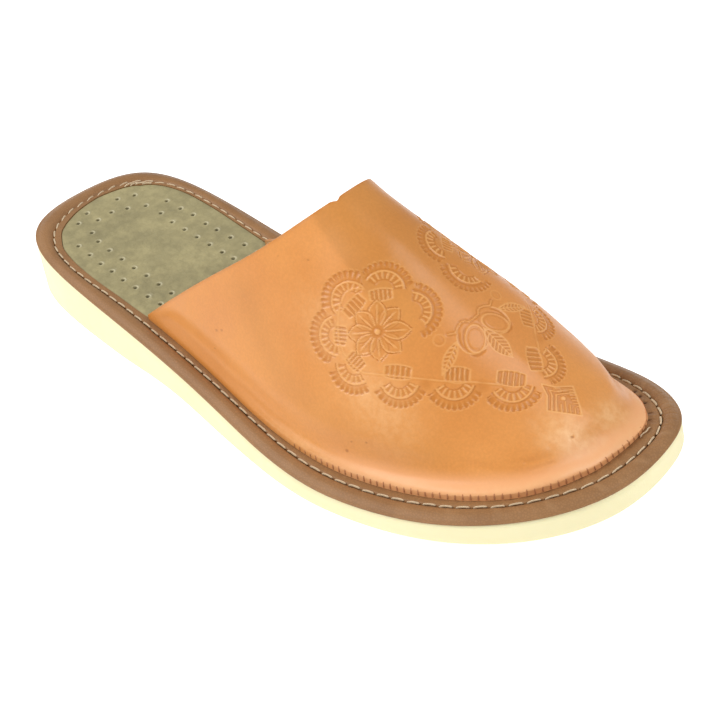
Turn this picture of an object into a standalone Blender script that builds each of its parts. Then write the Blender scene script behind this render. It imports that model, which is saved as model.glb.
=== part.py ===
"""A leather mule slipper for the right foot: a wedge sole, a rolled binding, a footbed and a hollow upper.

The heel points to -X, the toe to +X, the inner side of the foot to +Y, and the floor is Z = 0. Lengths are
in metres. The tables hold shares of the named sizes that they follow. "Round" is the way round the sole's
outline: 0 at the middle of the heel's back, 0.5 at the toe, over the outer side, and back over the inner side.
"""

import math
from collections import namedtuple

import bmesh
import bpy
import numpy as np

# Plan of the sole, over the binding
LENGTH = 0.290
HEEL_WIDTH = 0.0755
WAIST_WIDTH = 0.0835
BALL_WIDTH = 0.1075
TOE_WIDTH = 0.0915

# Foam wedge
HEEL_THICKNESS = 0.0236
FOREPART_THICKNESS = 0.0065
TOE_SPRING = 0.0130
SPRING_START = 0.1900
ARCH_LIFT = 0.0020
ARCH_BACK = 0.0780
ARCH_FRONT = 0.1550
SOLE_FLARE = 0.0011
SOLE_ROUNDING = 0.0016
SOLE_TOP_INSET = 0.0005

# Rolled binding and its flat strip
ROLL_HEIGHT = 0.0028
STRIP_HEIGHT = 0.0022
SEW_INSET = 0.0066
STRIP_LAP = 0.0014

# Footbed
FOOTBED_THICKNESS = 0.0021
FOOTBED_ROUNDING = 0.0007
FOOTBED_CUP = 0.0006
CUP_INSET = 0.0160

# Upper
WALL = 0.0018
UPPER_INSET = 0.0088
INSTEP_HEIGHT = 0.0862
THROAT_TOP = 0.1760
THROAT_BACK = 0.0940

# Clearance between pieces that touch
GAP = 0.0003

# Fineness of the meshes
OUTLINE_SIDES = 84
THROAT_TO_TOE_ROWS = 36
GIRTH_COLUMNS = 28

OutlinePoint = namedtuple("OutlinePoint", "along across width")
OUTLINE = (
    OutlinePoint(0.0000, 0.000, HEEL_WIDTH),
    OutlinePoint(0.0166, -0.355, HEEL_WIDTH),
    OutlinePoint(0.1076, -0.548, HEEL_WIDTH),
    OutlinePoint(0.2814, -0.551, WAIST_WIDTH),
    OutlinePoint(0.4683, -0.594, WAIST_WIDTH),
    OutlinePoint(0.6328, -0.505, BALL_WIDTH),
    OutlinePoint(0.7507, -0.479, BALL_WIDTH),
    OutlinePoint(0.8524, -0.469, TOE_WIDTH),
    OutlinePoint(0.9403, -0.299, TOE_WIDTH),
    OutlinePoint(0.9934, -0.057, TOE_WIDTH),
    OutlinePoint(1.0000, 0.204, TOE_WIDTH),
    OutlinePoint(0.9762, 0.411, TOE_WIDTH),
    OutlinePoint(0.9038, 0.553, TOE_WIDTH),
    OutlinePoint(0.8017, 0.509, BALL_WIDTH),
    OutlinePoint(0.7010, 0.496, BALL_WIDTH),
    OutlinePoint(0.5755, 0.425, BALL_WIDTH),
    OutlinePoint(0.4248, 0.434, WAIST_WIDTH),
    OutlinePoint(0.2614, 0.420, WAIST_WIDTH),
    OutlinePoint(0.1107, 0.452, HEEL_WIDTH),
    OutlinePoint(0.0241, 0.313, HEEL_WIDTH),
)

# Share of the heel's extra thickness that is left at each station along the sole
WedgeRow = namedtuple("WedgeRow", "along share")
WEDGE = (
    WedgeRow(0.000, 1.000),
    WedgeRow(0.104, 0.883),
    WedgeRow(0.207, 0.754),
    WedgeRow(0.310, 0.602),
    WedgeRow(0.414, 0.427),
    WedgeRow(0.517, 0.240),
    WedgeRow(0.621, 0.070),
    WedgeRow(0.724, 0.000),
    WedgeRow(0.828, 0.028),
    WedgeRow(0.931, 0.110),
    WedgeRow(1.000, 0.158),
)

# How far in the seam lies, as a share of SEW_INSET, and the upper's foot, as a share of UPPER_INSET
EdgeRow = namedtuple("EdgeRow", "round sew foot")
EDGE = (
    EdgeRow(0.000, 1.35, 1.00),
    EdgeRow(0.060, 1.22, 1.00),
    EdgeRow(0.120, 0.88, 1.00),
    EdgeRow(0.180, 1.02, 1.07),
    EdgeRow(0.260, 1.00, 0.90),
    EdgeRow(0.340, 0.94, 1.00),
    EdgeRow(0.410, 1.05, 1.03),
    EdgeRow(0.455, 1.09, 1.38),
    EdgeRow(0.500, 1.05, 1.27),
    EdgeRow(0.550, 1.00, 1.05),
    EdgeRow(0.650, 0.94, 1.00),
    EdgeRow(0.800, 1.03, 1.00),
    EdgeRow(0.920, 1.06, 1.00),
    EdgeRow(0.960, 1.24, 1.00),
    EdgeRow(1.000, 1.35, 1.00),
)

# The binding's section: "roll" runs from the outer edge to the seam, "strip" from the seam to the inner edge,
# "crown" is a share of ROLL_HEIGHT and "flat" a share of STRIP_HEIGHT, both above the foam
BindingRow = namedtuple("BindingRow", "roll strip crown flat")
BINDING = (
    BindingRow(0.10, 0.00, 0.00, 0.00),
    BindingRow(0.00, 0.00, 0.18, 0.00),
    BindingRow(0.02, 0.00, 0.30, 0.00),
    BindingRow(0.14, 0.00, 0.46, 0.00),
    BindingRow(0.32, 0.00, 0.76, 0.00),
    BindingRow(0.52, 0.00, 0.97, 0.00),
    BindingRow(0.68, 0.00, 1.00, 0.00),
    BindingRow(0.86, 0.00, 0.84, 0.00),
    BindingRow(1.00, 0.00, 0.00, 0.68),
    BindingRow(1.00, 0.16, 0.00, 1.00),
    BindingRow(1.00, 1.00, 0.00, 1.00),
    BindingRow(1.00, 1.00, 0.00, 0.00),
)

# The last's top line, from the middle of the throat to the toe: "forward" is a share of that distance,
# "rise" of the instep's height over the toe's edge, "inward" of BALL_WIDTH
RidgeRow = namedtuple("RidgeRow", "forward rise inward")
RIDGE = (
    RidgeRow(0.00, 1.000, 0.017),
    RidgeRow(0.23, 0.804, 0.029),
    RidgeRow(0.47, 0.533, 0.055),
    RidgeRow(0.70, 0.291, 0.071),
    RidgeRow(0.89, 0.134, 0.094),
    RidgeRow(1.00, 0.000, 0.162),
)

# Fullness of the sections on the outer and the inner side of the foot: 2 is an ellipse, 1 a straight slope
FullnessRow = namedtuple("FullnessRow", "forward outer inner")
FULLNESS = (
    FullnessRow(0.00, 2.25, 2.39),
    FullnessRow(0.33, 1.93, 2.49),
    FullnessRow(0.66, 1.32, 2.02),
    FullnessRow(1.00, 1.55, 1.45),
)
THROAT_CURVE_OUTER = 1.02
THROAT_CURVE_INNER = 0.76
TOE_CROWDING = 1.54


def column(table, name):
    """One column of a table as an array."""
    return np.array([getattr(row, name) for row in table])


def smooth(stations, values, wanted):
    """Values at the wanted stations, along a curve that passes through the table without overshooting."""
    stations, values = np.asarray(stations), np.asarray(values)
    steps = np.diff(stations)
    slopes = np.diff(values) / steps
    tangents = np.concatenate([slopes[:1], np.zeros(len(slopes) - 1), slopes[-1:]])
    for i in range(1, len(slopes)):
        before, after = slopes[i - 1], slopes[i]
        if before * after > 0.0:
            near, far = 2 * steps[i] + steps[i - 1], steps[i] + 2 * steps[i - 1]
            tangents[i] = (near + far) / (near / before + far / after)
    wanted = np.clip(wanted, stations[0], stations[-1])
    i = np.clip(np.searchsorted(stations, wanted, side="right") - 1, 0, len(slopes) - 1)
    t = (wanted - stations[i]) / steps[i]
    rise = (1 + 2 * t) * (1 - t) ** 2 * values[i] + t**2 * (3 - 2 * t) * values[i + 1]
    bend = t * (1 - t) ** 2 * tangents[i] - t**2 * (1 - t) * tangents[i + 1]
    return rise + bend * steps[i]


def closed_spline(points, per_span):
    """A closed cubic curve with even curvature through the points, per_span samples from each to the next."""
    count = len(points)
    matrix = 4 * np.eye(count) + np.roll(np.eye(count), 1, axis=1) + np.roll(np.eye(count), -1, axis=1)
    tangents = np.linalg.solve(matrix, 3 * (np.roll(points, -1, axis=0) - np.roll(points, 1, axis=0)))
    t = np.linspace(0.0, 1.0, per_span, endpoint=False)[:, None]
    spans = []
    for i in range(count):
        j = (i + 1) % count
        position = (1 + 2 * t) * (1 - t) ** 2 * points[i] + t**2 * (3 - 2 * t) * points[j]
        bend = t * (1 - t) ** 2 * tangents[i] - t**2 * (1 - t) * tangents[j]
        spans.append(position + bend)
    return np.concatenate(spans)


class Outline:
    """The sole's outline over the binding, evenly sampled along each half from heel to toe."""

    def __init__(self, sides):
        points = np.array([(row.along * LENGTH, row.across * row.width) for row in OUTLINE])
        per_span = 24
        curve = closed_spline(points, per_span)
        toe = per_span * int(np.argmax(column(OUTLINE, "along")))
        outer, inner = curve[: toe + 1], np.concatenate([curve[toe:], curve[:1]])
        self.round = np.arange(sides) / sides
        half = sides // 2
        self.points = np.concatenate([evenly(outer, half), evenly(inner, sides - half)])
        ahead, behind = np.roll(self.points, -1, axis=0), np.roll(self.points, 1, axis=0)
        tangents = ahead - behind
        normals = np.stack([tangents[:, 1], -tangents[:, 0]], axis=1)
        self.outward = normals / np.linalg.norm(normals, axis=1, keepdims=True)

    def moved_in(self, inset):
        """The outline moved in by an inset, which may differ round it."""
        return self.points - np.reshape(inset, (-1, 1)) * self.outward

    def ring(self, inset, height):
        """A ring of points: the outline moved in, at a height that depends on the place in plan."""
        plan = self.moved_in(inset)
        return np.column_stack([plan, height(plan[:, 0])])


def evenly(curve, count):
    """Points at even distances along an open curve, without its last one."""
    lengths = np.concatenate([[0.0], np.cumsum(np.linalg.norm(np.diff(curve, axis=0), axis=1))])
    wanted = np.linspace(0.0, lengths[-1], count, endpoint=False)
    return np.stack([np.interp(wanted, lengths, curve[:, axis]) for axis in range(2)], axis=1)


def spring(x):
    """Height of the toe spring: a parabola in front of the ball of the foot."""
    forward = np.clip((x - SPRING_START) / (LENGTH - SPRING_START), 0.0, None)
    return TOE_SPRING * forward**2


def sole_bottom(x):
    """Height of the foam's underside, with a shallow arch at the waist and the toe spring."""
    way = np.clip((x - ARCH_BACK) / (ARCH_FRONT - ARCH_BACK), 0.0, 1.0)
    return spring(x) + ARCH_LIFT * np.sin(math.pi * way) ** 2


def sole_top(x):
    """Height of the foam's top, which thins from the heel to the ball and thickens a little at the toe."""
    wedge = smooth(column(WEDGE, "along") * LENGTH, column(WEDGE, "share"), x)
    return spring(x) + FOREPART_THICKNESS + (HEEL_THICKNESS - FOREPART_THICKNESS) * wedge


def sew_inset(outline):
    """How far in from the outline the binding's seam runs."""
    return SEW_INSET * smooth(column(EDGE, "round"), column(EDGE, "sew"), outline.round)


def foot_inset(outline):
    """How far in from the outline the upper's outer face meets the binding."""
    return UPPER_INSET * smooth(column(EDGE, "round"), column(EDGE, "foot"), outline.round)


def strip_inset(outline):
    """How far in from the outline the binding's inner edge lies, under the upper's wall and past it."""
    return foot_inset(outline) + WALL + STRIP_LAP


def add_ring(mesh, ring):
    """New vertices for a ring of points."""
    return [mesh.verts.new(point) for point in ring]


def join_rings(mesh, first, second):
    """A band of quads between two rings with the same number of points."""
    count = len(first)
    for i in range(count):
        j = (i + 1) % count
        mesh.faces.new((first[i], first[j], second[j], second[i]))


def close_across(mesh, ring):
    """A cap of quads across a ring, between its outer and its inner side."""
    count = len(ring)
    for i in range(count // 2):
        corners = (ring[i], ring[i + 1], ring[(count - i - 1) % count], ring[(count - i) % count])
        mesh.faces.new(dict.fromkeys(corners))


def finish_object(name, mesh, material, collection, carrier):
    """An object from a bmesh, with smooth shading, its material and its carrier. Closed meshes face out."""
    if all(edge.is_manifold for edge in mesh.edges):
        bmesh.ops.recalc_face_normals(mesh, faces=mesh.faces)
    data = bpy.data.meshes.new(name)
    mesh.to_mesh(data)
    mesh.free()
    data.shade_smooth()
    data.set_sharp_from_angle(angle=math.radians(35))
    data.materials.append(material)
    piece = bpy.data.objects.new(name, data)
    collection.objects.link(piece)
    piece.parent = carrier
    return piece


def leather_or_foam(name, colour, roughness):
    """A Principled material with a plain colour and roughness."""
    material = bpy.data.materials.new(name)
    material.use_nodes = True
    shader = material.node_tree.nodes["Principled BSDF"]
    shader.inputs["Base Color"].default_value = (*colour, 1.0)
    shader.inputs["Roughness"].default_value = roughness
    shader.inputs["Metallic"].default_value = 0.0
    return material


def build_outsole(outline, collection, carrier):
    """The foam wedge: flat under the heel and the ball, arched between them, with a flared, rounded side."""
    side = (
        (SOLE_ROUNDING - SOLE_FLARE, 0.0),
        (0.3 * SOLE_ROUNDING - SOLE_FLARE, 0.3 * SOLE_ROUNDING),
        (-SOLE_FLARE, SOLE_ROUNDING),
    )
    mesh = bmesh.new()
    rings = []
    for inset, lift in side:
        rings.append(add_ring(mesh, outline.ring(inset, lambda x: sole_bottom(x) + lift)))
    rings.append(add_ring(mesh, outline.ring(0.0, lambda x: sole_top(x) - SOLE_TOP_INSET)))
    rings.append(add_ring(mesh, outline.ring(SOLE_TOP_INSET, sole_top)))
    for lower, upper in zip(rings, rings[1:]):
        join_rings(mesh, lower, upper)
    close_across(mesh, rings[0])
    close_across(mesh, rings[-1])
    material = leather_or_foam("cream_foam", (0.94, 0.87, 0.58), 0.62)
    return finish_object("outsole", mesh, material, collection, carrier)


def build_binding(outline, collection, carrier):
    """The brown leather rolled round the sole's edge, with its seam groove and the flat strip inside it."""
    sew, inner = sew_inset(outline), strip_inset(outline)
    mesh = bmesh.new()
    rings = []
    for row in BINDING:
        inset = row.roll * sew + row.strip * (inner - sew)
        lift = max(GAP, row.crown * ROLL_HEIGHT + row.flat * STRIP_HEIGHT)
        rings.append(add_ring(mesh, outline.ring(inset, lambda x: sole_top(x) + lift)))
    for lower, upper in zip(rings, rings[1:] + rings[:1]):
        join_rings(mesh, lower, upper)
    material = leather_or_foam("brown_leather", (0.24, 0.14, 0.07), 0.55)
    return finish_object("binding", mesh, material, collection, carrier)


def build_footbed(outline, collection, carrier):
    """The olive sock inside the binding: level at its rounded edge and slightly cupped in the middle."""
    edge = strip_inset(outline) + GAP
    base, top = GAP, GAP + FOOTBED_THICKNESS
    rows = (
        (edge, base),
        (edge, top - FOOTBED_ROUNDING),
        (edge + FOOTBED_ROUNDING, top),
        (edge + CUP_INSET / 2, top - FOOTBED_CUP / 2),
        (edge + CUP_INSET, top - FOOTBED_CUP),
    )
    mesh = bmesh.new()
    rings = []
    for inset, lift in rows:
        rings.append(add_ring(mesh, outline.ring(inset, lambda x: sole_top(x) + lift)))
    for lower, upper in zip(rings, rings[1:]):
        join_rings(mesh, lower, upper)
    close_across(mesh, rings[0])
    close_across(mesh, rings[-1])
    material = leather_or_foam("olive_leather", (0.38, 0.33, 0.17), 0.6)
    return finish_object("footbed", mesh, material, collection, carrier)


def foot_line(outline, seat):
    """The line where the upper's outer face stands on the binding, with the toe's place in it."""
    line = outline.ring(foot_inset(outline), lambda x: sole_top(x) + seat)
    return line, len(line) // 2


def side_points(line, toe, shares, outer):
    """Points of one side of the foot line, from the throat's corner to the toe, at the given shares."""
    side = line[: toe + 1] if outer else np.concatenate([line[toe:], line[:1]])[::-1]
    places = np.arange(len(side))
    corner = np.interp(THROAT_BACK, side[:, 0], places)
    wanted = corner + (toe - corner) * shares
    return np.stack([np.interp(wanted, places, side[:, axis]) for axis in range(3)], axis=1)


def top_line(toe_point, shares):
    """The last's top line, with a point over each pair of foot points."""
    forward = 1 - (1 - shares) ** TOE_CROWDING
    stations = column(RIDGE, "forward")
    inward = column(RIDGE, "inward") * BALL_WIDTH
    inward[-1] = toe_point[1]
    x = THROAT_TOP + forward * (toe_point[0] - THROAT_TOP)
    rise = smooth(stations, column(RIDGE, "rise"), forward)
    z = toe_point[2] + rise * (INSTEP_HEIGHT - toe_point[2])
    return np.column_stack([x, smooth(stations, inward, forward), z])


def girth(outer_foot, inner_foot, top, forward, angles):
    """One section of the last: a rounded arch from the outer foot point over the top to the inner one."""
    middle = (outer_foot + inner_foot) / 2
    points = []
    for angle in angles:
        outer = angle <= math.pi / 2
        side = "outer" if outer else "inner"
        fullness = float(smooth(column(FULLNESS, "forward"), column(FULLNESS, side), forward))
        lean = THROAT_CURVE_OUTER if outer else THROAT_CURVE_INNER
        across = abs(math.cos(angle)) ** (2 / fullness)
        up = math.sin(angle) ** (2 / fullness)
        foot = outer_foot if outer else inner_foot
        point = middle + across * (foot - middle) + up * (top - middle)
        point[0] = middle[0] + across * (foot - middle)[0] + up**lean * (top - middle)[0]
        points.append(point)
    return points


def build_upper(outline, collection, carrier):
    """The hollow vamp: one wall over the last's sections, open at the throat behind and underneath."""
    seat = STRIP_HEIGHT + GAP
    line, toe = foot_line(outline, seat + WALL)
    shares = np.linspace(0.0, 1.0, THROAT_TO_TOE_ROWS)
    angles = math.pi * np.linspace(0.0, 1.0, GIRTH_COLUMNS)[1:-1]
    outer, inner = (side_points(line, toe, shares, outer) for outer in (True, False))
    tops = top_line(line[toe], shares)
    skirt = np.array([0.0, 0.0, WALL])
    mesh = bmesh.new()
    rows = []
    for row in range(THROAT_TO_TOE_ROWS - 1):
        arch = girth(outer[row], inner[row], tops[row], shares[row], angles)
        ends = [point - skirt for point in (outer[row], inner[row])]
        rows.append(add_ring(mesh, [ends[0], outer[row], *arch, inner[row], ends[1]]))
    toe_top = mesh.verts.new(line[toe])
    toe_foot = mesh.verts.new(line[toe] - skirt)
    for back, front in zip(rows, rows[1:]):
        for j in range(len(back) - 1):
            mesh.faces.new((back[j], front[j], front[j + 1], back[j + 1]))
    last = rows[-1]
    for j in range(1, len(last) - 2):
        mesh.faces.new((last[j], toe_top, last[j + 1]))
    mesh.faces.new((last[0], toe_foot, toe_top, last[1]))
    mesh.faces.new((last[-2], toe_top, toe_foot, last[-1]))
    material = leather_or_foam("tan_leather", (0.78, 0.36, 0.12), 0.4)
    piece = finish_object("upper", mesh, material, collection, carrier)
    wall = piece.modifiers.new("wall", "SOLIDIFY")
    wall.thickness = WALL
    wall.offset = -1.0
    wall.use_even_offset = False
    return piece


def main():
    """Clears the scene and builds the slipper, centred in plan over the origin."""
    for old in list(bpy.data.objects):
        bpy.data.objects.remove(old, do_unlink=True)
    collection = bpy.data.collections.new("slipper")
    bpy.context.scene.collection.children.link(collection)
    outline = Outline(OUTLINE_SIDES)
    edge = outline.moved_in(-SOLE_FLARE)
    centre = (edge.min(axis=0) + edge.max(axis=0)) / 2
    carrier = bpy.data.objects.new("slipper_right", None)
    carrier.location = (-centre[0], -centre[1], 0.0)
    collection.objects.link(carrier)
    build_outsole(outline, collection, carrier)
    build_binding(outline, collection, carrier)
    build_footbed(outline, collection, carrier)
    build_upper(outline, collection, carrier)


main()
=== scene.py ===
"""The looks of a leather mule slipper for the right foot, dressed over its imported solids.

The heel points to -X, the toe to +X, the inner side of the foot to +Y, and the floor is Z = 0. Lengths are in
metres unless a name says millimetres. "Round" is the way round the sole's outline: 0 at the middle of the heel's
back, 0.5 at the toe, over the outer side, and back over the inner side.
"""

import logging
import math
from dataclasses import dataclass
from enum import Enum
from typing import Callable, NamedTuple, Optional, Sequence

import bmesh
import bpy
import numpy as np
from mathutils import Matrix, Vector
from mathutils.bvhtree import BVHTree
from mathutils.kdtree import KDTree


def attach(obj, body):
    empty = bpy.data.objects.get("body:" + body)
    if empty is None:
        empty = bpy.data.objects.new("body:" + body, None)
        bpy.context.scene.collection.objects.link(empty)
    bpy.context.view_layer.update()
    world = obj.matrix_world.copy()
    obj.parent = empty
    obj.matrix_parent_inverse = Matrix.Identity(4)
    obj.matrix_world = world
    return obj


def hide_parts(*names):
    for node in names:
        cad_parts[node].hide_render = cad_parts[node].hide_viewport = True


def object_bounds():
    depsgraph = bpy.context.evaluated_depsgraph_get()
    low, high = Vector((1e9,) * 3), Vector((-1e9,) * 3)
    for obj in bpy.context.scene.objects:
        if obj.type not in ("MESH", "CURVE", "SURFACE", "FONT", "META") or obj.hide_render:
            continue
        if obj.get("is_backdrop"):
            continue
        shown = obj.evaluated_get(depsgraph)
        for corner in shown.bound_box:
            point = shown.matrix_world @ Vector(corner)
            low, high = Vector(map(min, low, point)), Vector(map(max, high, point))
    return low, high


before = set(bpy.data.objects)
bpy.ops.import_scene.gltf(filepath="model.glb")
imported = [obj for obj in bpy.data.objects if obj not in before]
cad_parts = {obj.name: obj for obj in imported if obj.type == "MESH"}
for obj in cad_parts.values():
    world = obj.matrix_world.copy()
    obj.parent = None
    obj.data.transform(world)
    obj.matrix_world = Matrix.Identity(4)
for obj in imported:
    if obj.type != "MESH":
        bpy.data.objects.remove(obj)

LOG = logging.getLogger("slipper")
Array = np.ndarray
Mesh = bmesh.types.BMesh
Object = bpy.types.Object
Material = bpy.types.Material
Spot = tuple[float, float]
Range = tuple[float, float]
Triple = tuple[float, float, float]
MM = 0.001
CAD_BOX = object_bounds()


# Curves and small sums


def smooth(stations: Sequence[float], values: Sequence[float], wanted: Array) -> Array:
    """Reads a curve that passes through a table without overshooting.

    Args:
        stations: rising places of the table's values.
        values: the values at those places.
        wanted: the places to read, of any shape.

    Returns:
        The values there, held at the table's ends.
    """
    x, y = np.asarray(stations, float), np.asarray(values, float)
    steps = np.diff(x)
    slopes = np.diff(y) / steps
    tangents = np.concatenate([slopes[:1], np.zeros(len(slopes) - 1), slopes[-1:]])
    for i in range(1, len(slopes)):
        before, after = slopes[i - 1], slopes[i]
        if before * after > 0.0:
            near, far = 2 * steps[i] + steps[i - 1], steps[i] + 2 * steps[i - 1]
            tangents[i] = (near + far) / (near / before + far / after)
    wanted = np.clip(wanted, x[0], x[-1])
    i = np.clip(np.searchsorted(x, wanted, side="right") - 1, 0, len(slopes) - 1)
    t = (wanted - x[i]) / steps[i]
    rise = (1 + 2 * t) * (1 - t) ** 2 * y[i] + t**2 * (3 - 2 * t) * y[i + 1]
    bend = t * (1 - t) ** 2 * tangents[i] - t**2 * (1 - t) * tangents[i + 1]
    return rise + bend * steps[i]


def step(value: Array, low: float, high: float) -> Array:
    """Returns 0 below low and 1 above high, with a soft change between them."""
    t = np.clip((value - low) / (high - low), 0.0, 1.0)
    return t * t * (3 - 2 * t)


def bell(value: Array, width: float) -> Array:
    """Returns a bump of height 1 round 0, with this half width."""
    return np.exp(-((value / width) ** 2))


def turned(value: Array) -> Array:
    """Returns the fractional part, less a half, so that 0 is the middle of a repeat."""
    return value - np.floor(value) - 0.5


def closed_spline(points: Array, per_span: int) -> Array:
    """A closed cubic curve with even curvature.

    Args:
        points: the points that it passes through, one a row.
        per_span: samples from each point to the next.

    Returns:
        The samples, one a row.
    """
    count = len(points)
    ring = np.eye(count)
    matrix = 4 * ring + np.roll(ring, 1, axis=1) + np.roll(ring, -1, axis=1)
    tangents = np.linalg.solve(matrix, 3 * (np.roll(points, -1, axis=0) - np.roll(points, 1, axis=0)))
    t = np.linspace(0.0, 1.0, per_span, endpoint=False)[:, None]
    spans = []
    for i in range(count):
        j = (i + 1) % count
        position = (1 + 2 * t) * (1 - t) ** 2 * points[i] + t**2 * (3 - 2 * t) * points[j]
        bend = t * (1 - t) ** 2 * tangents[i] - t**2 * (1 - t) * tangents[j]
        spans.append(position + bend)
    return np.concatenate(spans)


def evenly(curve: Array, count: int) -> Array:
    """Points at even distances along an open plane curve, without its last one.

    Args:
        curve: its samples, one a row.
        count: how many points.

    Returns:
        The points, one a row.
    """
    lengths = np.concatenate([[0.0], np.cumsum(np.linalg.norm(np.diff(curve, axis=0), axis=1))])
    wanted = np.linspace(0.0, lengths[-1], count, endpoint=False)
    return np.stack([np.interp(wanted, lengths, curve[:, axis]) for axis in range(2)], axis=1)


# The sole's plan and heights


class OutlinePoint(NamedTuple):
    """A point of the outline: a share of the length, and a share of a width across it."""

    along: float
    across: float
    width: float


class EdgeRow(NamedTuple):
    """How far in from the outline the seam, the upper's foot and the strip's inner edge lie, in millimetres."""

    round: float
    sew: float
    foot: float
    strip: float


@dataclass
class Sole:
    """The sole's outline over the binding and its heights, which every other piece follows."""

    length: float = 0.290
    heel: float = 0.0755
    waist: float = 0.0835
    ball: float = 0.1075
    toe: float = 0.0915
    heel_thickness: float = 0.0236
    forepart_thickness: float = 0.0065
    toe_spring: float = 0.0130
    spring_start: float = 0.1900
    arch_lift: float = 0.0020
    arch_back: float = 0.0780
    arch_front: float = 0.1550
    flare: float = 0.0011
    rounding: float = 0.0016
    wall: float = 0.0018
    strip_height: float = 0.0022
    clearance: float = 0.0003
    cad_sides: int = 84
    finer: int = 30

    def __post_init__(self) -> None:
        """Samples the outline and centres it as the solids are."""
        heel, waist, ball, toe = self.heel, self.waist, self.ball, self.toe
        points = (
            (0.0000, 0.000, heel), (0.0166, -0.355, heel), (0.1076, -0.548, heel), (0.2814, -0.551, waist),
            (0.4683, -0.594, waist), (0.6328, -0.505, ball), (0.7507, -0.479, ball), (0.8524, -0.469, toe),
            (0.9403, -0.299, toe), (0.9934, -0.057, toe), (1.0000, 0.204, toe), (0.9762, 0.411, toe),
            (0.9038, 0.553, toe), (0.8017, 0.509, ball), (0.7010, 0.496, ball), (0.5755, 0.425, ball),
            (0.4248, 0.434, waist), (0.2614, 0.420, waist), (0.1107, 0.452, heel), (0.0241, 0.313, heel),
        )
        outline = tuple(OutlinePoint(*point) for point in points)
        edge = (
            (0.000, 9.3, 8.8, 11.3), (0.018, 9.8, 8.8, 12.4), (0.034, 10.1, 8.8, 13.2), (0.046, 9.6, 8.8, 12.8),
            (0.058, 8.2, 8.8, 11.3), (0.068, 6.9, 8.8, 10.1), (0.080, 5.8, 8.8, 8.5), (0.100, 5.4, 9.0, 8.0),
            (0.120, 6.0, 9.2, 8.3), (0.140, 6.7, 9.3, 9.0), (0.163, 7.0, 9.4, 9.6), (0.190, 6.7, 9.3, 12.5),
            (0.260, 6.6, 8.3, 11.5), (0.310, 6.5, 9.3, 12.5), (0.350, 6.7, 9.8, 13.0), (0.390, 7.1, 10.0, 13.2),
            (0.420, 7.3, 10.0, 13.2), (0.440, 7.8, 11.0, 14.2), (0.460, 7.6, 12.0, 15.2), (0.480, 7.2, 12.0, 15.2),
            (0.508, 6.2, 10.8, 14.0), (0.540, 6.6, 10.6, 13.8), (0.565, 6.6, 10.6, 13.8), (0.650, 6.4, 8.8, 12.0),
            (0.800, 7.3, 8.8, 12.0), (0.828, 7.6, 8.8, 9.2), (0.854, 7.2, 8.8, 8.6), (0.883, 6.5, 8.8, 7.9),
            (0.905, 6.3, 8.8, 7.7), (0.925, 6.9, 8.8, 8.6), (0.940, 8.4, 8.8, 10.2), (0.954, 9.2, 8.8, 12.2),
            (0.970, 9.5, 8.8, 12.2), (1.000, 9.3, 8.8, 11.3),
        )
        self.edge = tuple(EdgeRow(*row) for row in edge)
        points = np.array([(row.along * self.length, row.across * row.width) for row in outline])
        per_span = 96
        curve = closed_spline(points, per_span)
        tip = per_span * int(np.argmax([row.along for row in outline]))
        outer, inner = curve[: tip + 1], np.concatenate([curve[tip:], curve[:1]])
        samples = self.cad_sides * self.finer
        self.points = np.concatenate([evenly(outer, samples // 2), evenly(inner, samples // 2)])
        tangents = np.roll(self.points, -1, axis=0) - np.roll(self.points, 1, axis=0)
        normals = np.stack([tangents[:, 1], -tangents[:, 0]], axis=1)
        self.outward = normals / np.linalg.norm(normals, axis=1, keepdims=True)
        self.stations = np.arange(samples) / samples
        rim = (self.points + self.flare * self.outward)[:: self.finer]
        self.centre = (rim.min(axis=0) + rim.max(axis=0)) / 2

    def spring(self, x: Array) -> Array:
        """Returns the height of the toe spring, a parabola in front of the ball."""
        forward = np.clip((x - self.spring_start) / (self.length - self.spring_start), 0.0, None)
        return self.toe_spring * forward**2

    def bottom(self, x: Array) -> Array:
        """Returns the height of the foam's underside."""
        way = np.clip((x - self.arch_back) / (self.arch_front - self.arch_back), 0.0, 1.0)
        return self.spring(x) + self.arch_lift * np.sin(math.pi * way) ** 2

    def top(self, x: Array) -> Array:
        """The foam's top, a wedge from the heel to the ball that rises again with the toe.

        Args:
            x: distances from the heel's back.

        Returns:
            The heights there.
        """
        along = (0.000, 0.104, 0.207, 0.310, 0.414, 0.517, 0.621, 0.724, 0.828, 0.931, 1.000)
        share = (1.000, 0.883, 0.754, 0.602, 0.427, 0.240, 0.070, 0.000, 0.028, 0.110, 0.158)
        wedge = smooth(np.array(along) * self.length, share, x)
        return self.spring(x) + self.forepart_thickness + (self.heel_thickness - self.forepart_thickness) * wedge

    def read(self, table: Array, way: Array) -> Array:
        """Reads a table of points that follows the outline.

        Args:
            table: one row for each sample of the outline.
            way: places round the outline, of any size.

        Returns:
            A row for each place.
        """
        closed = np.concatenate([table, table[:1]])
        stations = np.append(self.stations, 1.0)
        way = np.mod(way, 1.0)
        return np.stack([np.interp(way, stations, closed[:, axis]) for axis in range(table.shape[1])], axis=-1)

    def plan(self, way: Array, inset: Array) -> Array:
        """Returns plan points at places round the outline, moved in by an inset."""
        return self.read(self.points, way) - np.reshape(inset, (-1, 1)) * self.read(self.outward, way)

    def inset(self, line: str, way: Array) -> Array:
        """Returns how far in from the outline a line of the edge table lies: "sew", "foot" or "strip"."""
        rounds, values = [row.round for row in self.edge], [getattr(row, line) for row in self.edge]
        return MM * smooth(rounds, values, np.mod(way, 1.0))

    def sew_inset(self, way: Array) -> Array:
        """Returns how far in from the outline the seam runs."""
        return self.inset("sew", way)

    def foot_inset(self, way: Array) -> Array:
        """Returns how far in the upper's outer face meets the binding."""
        return self.inset("foot", way)

    def strip_inset(self, way: Array) -> Array:
        """Returns how far in the binding's inner edge lies."""
        return self.inset("strip", way)

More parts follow.
